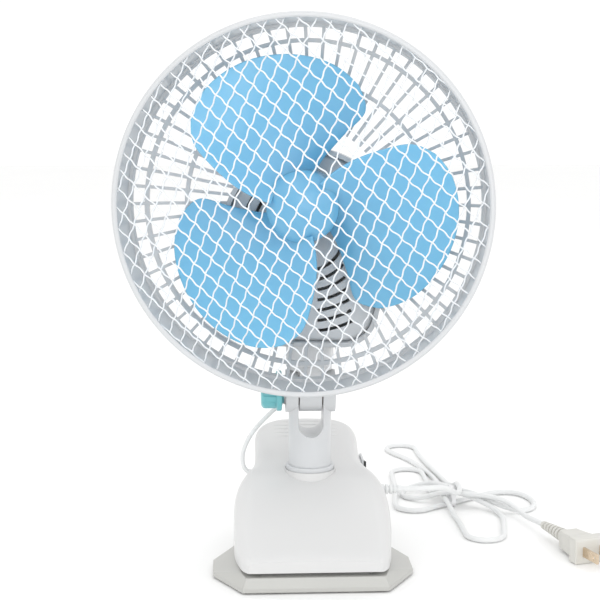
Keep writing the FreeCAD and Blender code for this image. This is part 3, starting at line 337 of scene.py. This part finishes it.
BRASS = Finish("plated_brass", (0.72, 0.60, 0.46), (0.64, 0.51, 0.37), 0.26, 0.12, 120.0, 3000.0, 0.00001, 0.0002,
               metallic=1.0)
FIBRE = Finish("pressed_fibre", (0.16, 0.07, 0.04), (0.11, 0.05, 0.03), 0.7, 0.1, 300.0, 1600.0, 0.00006)
RUBBER = Finish("grey_rubber", (0.24, 0.24, 0.235), (0.20, 0.20, 0.195), 0.75, 0.1, 60.0, 2200.0, 0.00005)
SHEATH = Finish("cord_sheath", (0.80, 0.81, 0.81), (0.76, 0.77, 0.77), 0.42, 0.1, 45.0, 1600.0, 0.00003, 0.0001)
MOULDED = Finish("plug_white", (0.66, 0.65, 0.61), (0.62, 0.61, 0.57), 0.42, 0.1, 50.0, 1500.0, 0.00003, 0.0006)
STRIP = Finish("tie_strip", (0.84, 0.84, 0.85), (0.78, 0.78, 0.79), 0.5, 0.12, 120.0, 1500.0, 0.00004, 0.0001)
SWITCH = Finish("switch_dark", (0.035, 0.037, 0.04), (0.028, 0.03, 0.032), 0.32, 0.1, 60.0, edge=0.0003, coat=0.1)

DRESSING: dict[Finish, tuple[str, ...]] = {
    WHITE: ("front_ring", "rear_guard", "tilt_tongue", "column", "column_collar", "rocker_housing", "wire_caps"),
    BODY_WHITE: ("base_shell", "base_cover"),
    FOOT_WHITE: ("lower_jaw",),
    HOUSING: ("motor_front_cover", "motor_rear_cover", "neck_socket"),
    KNOB: ("tilt_knob",),
    PLATED: ("hinge_pin", "cover_screws", "column_screw", "column_washer", "tilt_bolt", "knob_washer",
             "swivel_washer", "swivel_rivet", "rear_cover_screws", "front_bracket", "rear_bracket", "motor_screws",
             "spacer_sleeves", "guard_screws"),
    GROUND: ("motor_shaft",),
    CORE: ("stator_core", "rotor"),
    COPPER: ("stator_coils",),
    BRONZE: ("front_bush", "rear_bush"),
    BRASS: ("knob_nut", "plug_prongs"),
    FIBRE: ("friction_washers", "thrust_washers"),
    RUBBER: ("foot_pad", "lower_jaw_pad", "upper_jaw_pad"),
    SHEATH: ("lead_grommet", "cord_relief", "neck_bush"),
    MOULDED: ("plug_relief",),
    SWITCH: ("rocker",),
}


# ---- modelling helpers -------------------------------------------------------------------------
def clear_selection() -> None:
    """Leaves nothing selected."""
    bpy.ops.object.select_all(action="DESELECT")


def make_active(piece: bpy.types.Object) -> None:
    """Selects one piece and makes it active.

    Args:
        piece: The piece.
    """
    clear_selection()
    piece.select_set(True)
    bpy.context.view_layer.objects.active = piece


def modifier(piece: bpy.types.Object, kind: str, **settings: object) -> None:
    """Adds a modifier and applies it.

    Args:
        piece: A mesh piece.
        kind: The modifier's type.
        settings: Its settings, by name.
    """
    make_active(piece)
    added = piece.modifiers.new(kind.title(), kind)
    for key, value in settings.items():
        setattr(added, key, value)
    bpy.ops.object.modifier_apply(modifier=added.name)


def join(pieces: list[bpy.types.Object], name: str) -> bpy.types.Object:
    """Joins pieces into one.

    Args:
        pieces: Mesh pieces; the others are joined into the first.
        name: The joined piece's name.

    Returns:
        The joined piece.
    """
    clear_selection()
    for piece in pieces:
        piece.select_set(True)
    bpy.context.view_layer.objects.active = pieces[0]
    bpy.ops.object.join()
    joined = bpy.context.object
    joined.name = name
    joined.data.name = name
    return joined


def settle(piece: bpy.types.Object, smooth: float) -> None:
    """Moves a piece's place into its mesh, turns its faces outwards and smooths them.

    Args:
        piece: A finished mesh.
        smooth: Edges sharper than this angle, in degrees, stay sharp.
    """
    make_active(piece)
    bpy.ops.object.transform_apply(location=True, rotation=True, scale=True)
    bpy.ops.object.mode_set(mode="EDIT")
    bpy.ops.mesh.select_all(action="SELECT")
    bpy.ops.mesh.remove_doubles(threshold=1e-6)
    bpy.ops.mesh.normals_make_consistent(inside=False)
    bpy.ops.object.mode_set(mode="OBJECT")
    bpy.ops.object.shade_smooth_by_angle(angle=math.radians(smooth))


def turned(name: str, profile: list[tuple[float, float]], sides: int) -> bpy.types.Object:
    """Draws a piece of revolution about a line along Y through the origin.

    Args:
        name: The piece's name.
        profile: (radius, y) pairs in millimetres, from one closed end to the other.
        sides: Points round the ring.

    Returns:
        The closed piece.
    """
    clear_selection()
    radius, y = profile[0]
    bpy.ops.mesh.primitive_circle_add(vertices=sides, radius=radius * MM, fill_type="NGON",
                                      location=(0.0, y * MM, 0.0), rotation=(math.pi / 2, 0.0, 0.0))
    piece = bpy.context.object
    piece.name = name
    bpy.ops.object.transform_apply(location=True, rotation=True, scale=True)
    bpy.ops.object.mode_set(mode="EDIT")
    bpy.ops.mesh.select_all(action="SELECT")
    for (r0, y0), (r1, y1) in zip(profile, profile[1:]):
        bpy.ops.mesh.extrude_region_move(TRANSFORM_OT_translate={"value": (0.0, (y1 - y0) * MM, 0.0)})
        bpy.ops.transform.resize(value=(r1 / r0, 1.0, r1 / r0), center_override=(0.0, y1 * MM, 0.0))
    bpy.ops.object.mode_set(mode="OBJECT")
    return piece


def nurbs_line(name: str, routes: list[list[Point]], resolution: int) -> bpy.types.Object:
    """Draws smooth open lines through control points given in millimetres.

    Args:
        name: The curve's name.
        routes: Each line's control points.
        resolution: Points worked out for each control point.

    Returns:
        The curve.
    """
    data = bpy.data.curves.new(name, "CURVE")
    data.dimensions = "3D"
    data.resolution_u = resolution
    for route in routes:
        spline = data.splines.new("NURBS")
        spline.points.add(len(route) - 1)
        for point, (x, y, z) in zip(spline.points, route):
            point.co = (x * MM, y * MM, z * MM, 1.0)
        spline.order_u = 3
        spline.use_endpoint_u = True
        spline.resolution_u = resolution
    piece = bpy.data.objects.new(name, data)
    bpy.context.scene.collection.objects.link(piece)
    return piece


def round_out(piece: bpy.types.Object, radius: float, rounds: int) -> bpy.types.Object:
    """Gives a line a round section and makes it a mesh.

    Args:
        piece: A curve.
        radius: The section's radius in millimetres.
        rounds: The bevel's resolution.

    Returns:
        The mesh piece.
    """
    piece.data.bevel_depth = radius * MM
    piece.data.bevel_resolution = rounds
    piece.data.use_fill_caps = True
    make_active(piece)
    bpy.ops.object.convert(target="MESH")
    return bpy.context.object


def dress(piece: bpy.types.Object, material: bpy.types.Material) -> None:
    """Puts one material on a piece.

    Args:
        piece: The piece.
        material: Its material.
    """
    if not piece.material_slots:
        piece.data.materials.append(material)
    for place in piece.material_slots:
        place.material = material


def copy_of(piece: bpy.types.Object, turn: Matrix) -> bpy.types.Object:
    """Copies a piece with its own mesh, turned by a matrix.

    Args:
        piece: The piece to copy.
        turn: The matrix that turns its mesh.

    Returns:
        The copy.
    """
    twin = piece.copy()
    twin.data = piece.data.copy()
    twin.data.transform(turn)
    bpy.context.scene.collection.objects.link(twin)
    return twin


# ---- sub-assemblies ----------------------------------------------------------------------------
@dataclass
class Studio:
    """Camera, lamps and floor."""

    camera_at: Point = (-0.049, -0.832, 0.290)
    camera_drop: float = 7.84
    camera_turn: float = -2.83
    lens: float = 80.76
    floor_size: float = 14.0
    sky: float = 1.05
    aim: Point = (0.0, 0.0, 0.18)
    # name, place, width and power of each lamp
    lamps: tuple[tuple[str, Point, float, float], ...] = (
        ("key", (-1.1, -1.5, 1.9), 1.4, 6.0),
        ("fill", (1.3, -1.6, 1.1), 1.6, 5.0),
        ("front", (-0.2, -2.3, 0.6), 1.2, 7.0),
        ("top", (0.1, 0.5, 2.2), 1.8, 5.0),
    )

    def build(self) -> None:
        """Sets the camera, the floor and the lamps."""
        clear_selection()
        turn = (math.radians(90.0 - self.camera_drop), 0.0, math.radians(self.camera_turn))
        bpy.ops.object.camera_add(location=self.camera_at, rotation=turn)
        camera = bpy.context.object
        camera.name = "camera"
        camera.data.lens = self.lens
        camera.data.sensor_width = 36.0
        camera.data.clip_start = 0.01
        bpy.context.scene.camera = camera
        bpy.ops.mesh.primitive_plane_add(size=self.floor_size, location=(0.0, 0.0, 0.0))
        floor = bpy.context.object
        floor.name = "floor"
        paper = Shader("studio_paper")
        paper.set(Base_Color=paper.mix(paper.noise(3.0), (0.93, 0.93, 0.925), (0.95, 0.95, 0.945)), Roughness=0.85)
        dress(floor, paper.material)
        for name, place, size, power in self.lamps:
            self.lamp(name, place, size, power)
        world = bpy.data.worlds.new("studio")
        world.use_nodes = True
        world.node_tree.nodes["Background"].inputs["Color"].default_value = (1.0, 1.0, 1.0, 1.0)
        world.node_tree.nodes["Background"].inputs["Strength"].default_value = self.sky
        bpy.context.scene.world = world
        bpy.context.scene.view_settings.view_transform = "Standard"

    def lamp(self, name: str, place: Point, size: float, power: float) -> None:
        """Adds a square soft lamp that faces the object.

        Args:
            name: Its name.
            place: Its place.
            size: Its width.
            power: Its power in watts.
        """
        bpy.ops.object.light_add(type="AREA", location=place)
        lamp = bpy.context.object
        lamp.name = name
        lamp.data.size = size
        lamp.data.energy = power
        aim = Vector(self.aim) - Vector(place)
        lamp.rotation_euler = aim.to_track_quat("-Z", "Y").to_euler()


@dataclass
class GuardWires:
    """The front guard's domed mesh of two woven families of dipped wire."""

    reach: float = 111.8
    rise: float = 28.0
    rim_y: float = -31.5
    wire: float = 0.5
    wave: float = 0.55
    fade_length: float = 4.0
    rim_margin: float = 1.0
    least_steps: int = 6
    samples: int = 4
    # direction, distance between neighbours and distance between crossings of each family
    families: tuple[tuple[float, float, float], ...] = field(default_factory=lambda: (
        (math.atan2(-6.1, 7.0), 9.2, 9.28), (math.atan2(-8.9, -3.8), 8.83, 9.67)))

    def depth(self, x: float, z: float) -> float:
        """Gives the dome's y at a point off the axis."""
        sphere = (self.reach ** 2 + self.rise ** 2) / (2 * self.rise)
        return self.rim_y - self.rise + sphere - math.sqrt(max(sphere ** 2 - x * x - z * z, 0.0))

    def route(self, direction: float, offset: float, spacing: float, order: int) -> list[Point]:
        """Gives one wire's points from rim to rim.

        Args:
            direction: The wire's direction in the guard's plane, in radians.
            offset: Its distance from the middle.
            spacing: The distance between its crossings.
            order: 1 or -1, which of the two families it is in.

        Returns:
            Its control points.
        """
        half = math.sqrt(self.reach ** 2 - offset ** 2)
        steps = max(self.least_steps, int(half / spacing * self.samples))
        points = []
        for k in range(-steps, steps + 1):
            t = half * k / steps
            phase = math.pi * t / spacing
            fade = min(1.0, (half - abs(t)) / self.fade_length)
            side = offset + fade * self.wave * math.sin(2 * phase) * order
            x = t * math.cos(direction) - side * math.sin(direction)
            z = t * math.sin(direction) + side * math.cos(direction)
            y = self.depth(x, z) + order * self.wire * (0.75 + 0.25 * math.cos(2 * phase))
            points.append((x, y, z + AXIS_Z))
        return points

    def build(self) -> bpy.types.Object:
        """Builds the mesh of wires on the head.

        Returns:
            The wires.
        """
        routes = []
        for order, (direction, pitch, spacing) in zip((-1, 1), self.families):
            count = int((self.reach - self.rim_margin) / pitch)
            routes += [self.route(direction, k * pitch, spacing, order) for k in range(-count, count + 1)]
        piece = round_out(nurbs_line("guard_wires", routes, 2), self.wire, 1)
        piece.data.transform(head_turn())
        settle(piece, 60.0)
        dress(piece, WIRE.material())
        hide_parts("front_grille")
        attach(piece, "head")
        return piece


@dataclass
class Blades:
    """Three broad blades and a domed hub in one moulding."""

    middle_y: float = -13.2
    middle_angle: float = 107.0
    lead: float = 115.0
    thick: float = 1.7
    hub: float = 22.0
    dome_rim_y: float = -24.0
    dome_rise: float = 11.0
    squares: int = 30
    edge_bevel: float = 0.6
    # (angle, radius) points along each side of one blade
    leading: tuple[tuple[float, float], ...] = ((75, 18), (71, 27), (65, 38.6), (61, 50), (57.5, 62), (58.5, 70),
                                                (66, 79.5))
    tip: tuple[tuple[float, float], ...] = ((66, 79.5), (79, 87), (97, 92), (115, 94), (131, 91.6), (142, 85.5))
    trailing: tuple[tuple[float, float], ...] = ((172, 18), (168.5, 26.5), (165, 36), (160, 48), (155.5, 60),
                                                 (150, 75.5), (142, 85.5))
    root: tuple[tuple[float, float], ...] = ((75, 18), (99, 18), (123, 18), (148, 18), (172, 18))

    @staticmethod
    def along(edge: tuple[tuple[float, float], ...], t: float) -> Vector:
        """Gives the point at a share of the way along an edge, on a smooth curve through its points.

        Args:
            edge: The edge's (angle, radius) points.
            t: The share, from 0 to 1.

        Returns:
            The (angle, radius) point.
        """
        place = t * (len(edge) - 1)
        k = min(int(place), len(edge) - 2)
        s = place - k
        before, first, last, after = (Vector(edge[min(max(k + j, 0), len(edge) - 1)]) for j in (-1, 0, 1, 2))
        return 0.5 * (2 * first + (last - before) * s + (2 * before - 5 * first + 4 * last - after) * s ** 2
                      + (3 * first - before - 3 * last + after) * s ** 3)

    def surface_point(self, u: float, v: float) -> Vector:
        """Gives a point of the blade's middle surface.

        Args:
            u: Share of the way from root to tip.
            v: Share of the way from the leading to the trailing edge.

        Returns:
            The point, in metres.
        """
        lead, trail = self.along(self.leading, u), self.along(self.trailing, u)
        root, tip = self.along(self.root, v), self.along(self.tip, v)
        corners = ((1 - u) * (1 - v) * Vector(self.root[0]) + (1 - u) * v * Vector(self.root[-1])
                   + u * (1 - v) * Vector(self.tip[0]) + u * v * Vector(self.tip[-1]))
        angle, radius = (1 - v) * lead + v * trail + (1 - u) * root + u * tip - corners
        turn = math.radians(angle)
        y = self.middle_y - (angle - self.middle_angle) * self.lead / 360.0
        return Vector((radius * math.cos(turn), y, radius * math.sin(turn))) * MM

    def blade(self) -> bpy.types.Object:
        """Shapes one blade from a grid, with a rounded edge.

        Returns:
            The blade.
        """
        clear_selection()
        bpy.ops.mesh.primitive_grid_add(x_subdivisions=self.squares, y_subdivisions=self.squares, size=2.0)
        piece = bpy.context.object
        for vertex in piece.data.vertices:
            vertex.co = self.surface_point((vertex.co.x + 1) / 2, (vertex.co.y + 1) / 2)
        modifier(piece, "SOLIDIFY", thickness=self.thick * MM, offset=0.0)
        modifier(piece, "BEVEL", width=self.edge_bevel * MM, segments=3, limit_method="ANGLE",
                 angle_limit=math.radians(60))
        return piece

    def hub_profile(self) -> list[tuple[float, float]]:
        """Gives the hub's section: bore, boss, hollow back, skirt and dome."""
        dome = [(self.hub * math.cos(math.radians(a)),
                 self.dome_rim_y - self.dome_rise * math.sin(math.radians(a))) for a in range(0, 90, 9)]
        return [(0.4, -22.0), (3.1, -22.0), (3.1, 4.0), (6.5, 4.0), (6.5, -28.6), (14.0, -28.0), (20.0, -23.0),
                (20.0, 2.4), (20.6, 3.0), (21.4, 3.0), (self.hub, 2.4), *dome,
                (0.4, self.dome_rim_y - self.dome_rise)]

    def build(self) -> bpy.types.Object:
        """Builds the moulding on the shaft.

        Returns:
            The moulding.
        """
        hub = turned("hub", self.hub_profile(), 96)
        first = self.blade()
        others = [copy_of(first, Matrix.Rotation(math.radians(angle), 4, "Y")) for angle in (120, 240)]
        piece = join([hub, first, *others], "blades_and_hub")
        piece.data.transform(head_turn() @ Matrix.Translation((0.0, 0.0, AXIS_Z * MM)))
        settle(piece, 50.0)
        dress(piece, BLADE.material())
        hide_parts("fan_blade")
        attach(piece, "fan")
        return piece


@dataclass
class MainsPlug:
    """Moulded plug: a narrow grip behind a wider face block."""

    start: Point = (164.3, 61.0, 8.5)
    along: tuple[float, float] = (0.31, -0.951)
    relief: float = 28.0
    edge_bevel: float = 1.6
    # distance from the relief, half width and half height of each step
    steps: tuple[Point, ...] = ((0.0, 5.2, 4.7), (3.0, 7.0, 6.0), (12.0, 7.8, 6.4), (21.0, 9.0, 7.0),
                                (23.2, 11.6, 8.3), (24.0, 12.2, 8.4), (31.2, 12.3, 8.4), (32.0, 11.6, 7.8))

    def build(self) -> bpy.types.Object:
        """Builds the plug's shell.

        Returns:
            The shell.
        """
        clear_selection()
        _, half_y, half_z = self.steps[0]
        bpy.ops.mesh.primitive_plane_add(size=2.0, rotation=(0.0, math.pi / 2, 0.0))
        piece = bpy.context.object
        piece.name = "plug_shell"
        bpy.ops.object.transform_apply(location=False, rotation=True, scale=False)
        bpy.ops.object.mode_set(mode="EDIT")
        bpy.ops.mesh.select_all(action="SELECT")
        bpy.ops.transform.resize(value=(1.0, half_y * MM, half_z * MM))
        for (x0, y0, z0), (x1, y1, z1) in zip(self.steps, self.steps[1:]):
            bpy.ops.mesh.extrude_region_move(TRANSFORM_OT_translate={"value": ((x1 - x0) * MM, 0.0, 0.0)})
            bpy.ops.transform.resize(value=(1.0, y1 / y0, z1 / z0), center_override=(x1 * MM, 0.0, 0.0))
        bpy.ops.object.mode_set(mode="OBJECT")
        modifier(piece, "BEVEL", width=self.edge_bevel * MM, segments=4, limit_method="ANGLE",
                 angle_limit=math.radians(50))
        turn = Matrix.Rotation(math.atan2(self.along[1], self.along[0]), 4, "Z")
        place = Matrix.Translation(Vector(self.start) * MM)
        piece.data.transform(place @ turn @ Matrix.Translation((self.relief * MM, 0.0, 0.0)))
        settle(piece, 35.0)
        dress(piece, MOULDED.material())
        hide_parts("plug_body")
        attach(piece, "foot")
        return piece


@dataclass
class JawSpring:
    """Torsion spring on the clip's pin."""

    coil: float = 5.0
    wire: float = 1.1
    turns: int = 8
    steps: int = 14
    half_length: float = 10.0
    pin: tuple[float, float] = (54.0, 26.0)

    def build(self) -> bpy.types.Object:
        """Builds the coil with its two legs.

        Returns:
            The spring.
        """
        y, z = self.pin
        side = self.half_length
        points: list[Point] = [(side, y + 26.0, 11.2), (side, y + 18.0, 13.6), (side, y + 6.0, z - self.coil * 1.35)]
        reach = self.coil / math.cos(math.pi / self.steps)
        for k in range(self.turns * self.steps + self.steps // 2 + 1):
            angle = -math.pi / 2 - 2 * math.pi * k / self.steps
            x = side - 2 * side * k / (self.turns * self.steps + self.steps / 2)
            points.append((x, y + reach * math.cos(angle), z + reach * math.sin(angle)))
        points += [(-side, y + 4.0, z + self.coil * 1.5), (-side, y + 10.0, 41.0), (-side, y + 16.0, 47.0)]
        piece = round_out(nurbs_line("spring_coil", [points], 4), self.wire, 2)
        settle(piece, 60.0)
        dress(piece, DRAWN.material())
        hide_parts("jaw_spring")
        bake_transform(piece)
        return piece


@dataclass
class HeadLead:
    """Thin lead that leaves the back of the neck and enters the body's left wall."""

    diameter: float = 3.0
    route: tuple[Point, ...] = ((0, 42.5, 119.5), (0, 52, 118), (-6, 59, 110), (-16, 60, 98), (-29, 58, 87),
                                (-39, 55, 76), (-43.8, 52.3, 66), (-44.3, 50.5, 57.6), (-41.4, 50, 52.1),
                                (-36, 50, 49))

    def build(self) -> bpy.types.Object:
        """Builds the lead along its curved route from the neck to the clip.

        Returns:
            The lead.
        """
        line = nurbs_line("head_lead_line", [list(self.route)], 12)
        followed, length = line_points(line)
        piece = round_out(line, self.diameter / 2, 3)
        piece.name = "neck_lead"
        settle(piece, 60.0)
        dress(piece, SHEATH.material())
        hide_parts("head_lead")
        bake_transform(piece)
        return piece


def line_points(line: bpy.types.Object) -> tuple[list[Point], float]:
    """Reads a bare curve's own points and length.

    Args:
        line: A curve with no section yet.

    Returns:
        Its points and its length, in metres.
    """
    mesh = bpy.data.meshes.new_from_object(line)
    points = [vertex.co.copy() for vertex in mesh.vertices]
    bpy.data.meshes.remove(mesh)
    length = sum((b - a).length for a, b in zip(points, points[1:]))
    return [tuple(point) for point in points], length


@dataclass
class MainsCord:
    """Mains cord: from the body's right wall into a loosely tied hank, and out to the plug."""

    diameter: float = 3.8
    start: tuple[Point, ...] = ((62, 38, 42), (72.5, 38, 42), (81.8, 41.8, 41.4), (89, 49.2, 39.5), (95, 60, 36),
                                (100.5, 73, 31), (105, 87, 25.5), (110, 102, 20), (114.5, 117.5, 16.5),
                                (117.5, 132.5, 15.3))
    back_loop: tuple[Point, ...] = ((118, 147, 14.9), (118.5, 160, 10.5), (118.5, 174, 5.5), (117.5, 189, 2.8),
                                    (116, 205, 2.1), (114, 222, 2.1), (112, 239, 2.1), (110, 256, 2.1),
                                    (108.5, 272, 2.1), (107.7, 286, 2.1), (107.5, 298.5, 2.1), (107.5, 309.5, 2.1),
                                    (100.2, 317, 2.1), (89.8, 317, 2.1), (82.5, 309.5, 2.1), (83, 298.5, 2.1),
                                    (88, 286, 2.1), (94.5, 273, 2.1), (99.5, 259, 2.1), (103, 245, 2.1),
                                    (106, 231, 2.1), (108.5, 217, 2.1), (110, 203, 2.1), (110.5, 189, 2.1),
                                    (110, 175, 3), (108.5, 162, 5), (107.5, 150, 6.1))
    front_loop: tuple[Point, ...] = ((107.5, 138, 6.2), (108, 126, 5.6), (109, 114, 3.4), (110, 102, 2.1),
                                     (110.5, 90, 2.1), (110.5, 78, 2.1), (110.5, 67, 2.1), (110.5, 56.5, 2.1),
                                     (118, 49, 2.1), (128.5, 49, 2.1), (136, 56.5, 2.1), (138, 68, 2.1),
                                     (140.5, 81, 2.1), (143, 95, 2.1), (144, 109, 2.2), (138.5, 121, 4.4),
                                     (129, 131, 7.6), (119, 138, 9.8), (109.5, 143.5, 10.8))
    left_loop: tuple[Point, ...] = ((101.5, 150.5, 9.2), (99.5, 161, 5.4), (100.5, 172, 2.8), (101.5, 184, 2.1),
                                    (102.3, 196, 2.1), (102.5, 208, 2.1), (102.5, 219, 2.1), (102.5, 229.5, 2.1),
                                    (95.2, 237, 2.1), (84.8, 237, 2.1), (77.5, 229.5, 2.1), (77.3, 218, 2.1),
                                    (76.6, 205, 2.1), (75.8, 191, 2.1), (74.7, 177, 2.1), (73.3, 163.5, 2.1),
                                    (71.7, 151, 2.1), (70.3, 139, 2.1), (70.3, 128, 2.1), (77.6, 120.5, 2.1),
                                    (88, 120.5, 2.1), (96, 127, 2.1), (104.5, 133.5, 2.1), (114, 139, 2.3))
    right_loop: tuple[Point, ...] = ((124, 147, 2.3), (137, 157, 2.1), (151, 166, 2.1), (166, 165, 2.1),
                                     (174, 150, 2.1), (174.5, 131, 2.1), (166, 117, 2.1), (154, 115, 3.2),
                                     (141, 124, 6.4), (129, 135.5, 10.2), (118, 144.5, 10.6))
    small_loop: tuple[Point, ...] = ((109.5, 151, 12), (104.5, 158.5, 11.4), (103, 168.2, 9.6), (96.2, 175.5, 7),
                                     (85.8, 175.5, 4.2), (78.5, 168.2, 2.4), (78.5, 157.8, 2.1), (85.8, 150.5, 2.4),
                                     (95, 147.5, 4.6), (102.5, 142.5, 8.4), (110, 137.2, 11), (118, 132.6, 11.2))
    tail: tuple[Point, ...] = ((127, 129.2, 11), (136, 125.5, 11), (145, 120, 10.4), (152, 111.5, 8.4),
                               (156, 101.5, 6), (158.4, 90.5, 5.6), (160.4, 80, 6.6), (162.4, 70.5, 7.8),
                               (164.3, 61, 8.5))

    def build(self, parts: list[bpy.types.Object | str]) -> bpy.types.Object:
        """Builds the cord.

        Args:
            parts: The pieces that are on it; not used.

        Returns:
            The cord.
        """
        route = [*self.start, *self.back_loop, *self.front_loop, *self.left_loop, *self.right_loop,
                 *self.small_loop, *self.tail]
        line = nurbs_line("mains_line", [route], 8)
        followed, length = line_points(line)
        LOG.info("mains cord is %.3f m long", length)
        piece = round_out(line, self.diameter / 2, 3)
        piece.name = "mains_cord"
        settle(piece, 60.0)
        dress(piece, SHEATH.material())
        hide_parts("mains_cord_start", "cord_hank", "mains_cord_tail")
        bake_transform(piece)
        return piece


@dataclass
class HankTie:
    """Flat strip tied round the hank's waist, with its two ends twisted together."""

    at: Point = (113.0, 141.6, 7.1)
    half: tuple[float, float] = (11.4, 6.7)
    width: float = 3.2
    thick: float = 0.6
    strand: float = 0.8
    twist_reach: float = 0.9
    twist_points: int = 15
    twist_turn: float = 0.9
    twist_step: float = 0.9
    twist_start: float = -3.0
    twist_sink: float = 0.2

    def strip(self) -> bpy.types.Object:
        """Shapes the strip from an open ring pressed to the bundle's section.

        Returns:
            The strip.
        """
        clear_selection()
        bpy.ops.mesh.primitive_cylinder_add(vertices=48, radius=1.0, depth=self.width * MM, end_fill_type="NOTHING",
                                            rotation=(0.0, math.pi / 2, 0.0))
        piece = bpy.context.object
        bpy.ops.object.transform_apply(location=False, rotation=True, scale=False)
        for vertex in piece.data.vertices:
            square = (abs(vertex.co.y) ** 3 + abs(vertex.co.z) ** 3) ** (1 / 3)
            vertex.co.y *= self.half[0] * MM / square
            vertex.co.z *= self.half[1] * MM / square
        modifier(piece, "SOLIDIFY", thickness=self.thick * MM, offset=-1.0)
        return piece

    def twist(self) -> bpy.types.Object:
        """Shapes the twisted ends above the bundle.

        Returns:
            The twisted ends.
        """
        routes = []
        for side in (0.0, math.pi):
            points = []
            for k in range(self.twist_points):
                angle = side + k * self.twist_turn
                points.append((self.twist_reach * math.cos(angle), self.twist_start - self.twist_step * k,
                               self.half[1] - self.twist_sink + self.twist_reach * math.sin(angle)))
            routes.append(points)
        return round_out(nurbs_line("twist", routes, 4), self.strand, 2)

    def build(self) -> bpy.types.Object:
        """Builds the tie.

        Returns:
            The tie.
        """
        piece = join([self.strip(), self.twist()], "hank_tie")
        piece.data.transform(Matrix.Translation(Vector(self.at) * MM))
        settle(piece, 40.0)
        dress(piece, STRIP.material())
        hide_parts("cord_tie")
        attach(piece, "foot")
        return piece


def dress_frame(frame: dict) -> None:
    """Gives every node that stays its finish.

    Args:
        frame: The loaded frame.
    """
    for finish, names in DRESSING.items():
        material = finish.material()
        for name in names:
            dress(frame["nodes"][name], material)
    LOG.info("dressed %d nodes", sum(len(names) for names in DRESSING.values()))


def main() -> None:
    """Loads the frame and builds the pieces."""
    logging.basicConfig(level=logging.INFO, format="%(name)s: %(message)s")
    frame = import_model()
    Studio().build()
    plug = MainsPlug().build()
    tie = HankTie().build()
    cord = MainsCord().build([tie, plug, "plug_relief", "plug_prongs", "cord_relief"])
    others = [assembly.build() for assembly in (HeadLead(), Blades(), GuardWires(), JawSpring())]
    for piece in (plug, tie, cord, *others):
        LOG.info("built %s", piece.name)
    dress_frame(frame)


if __name__ == "__main__":
    main()
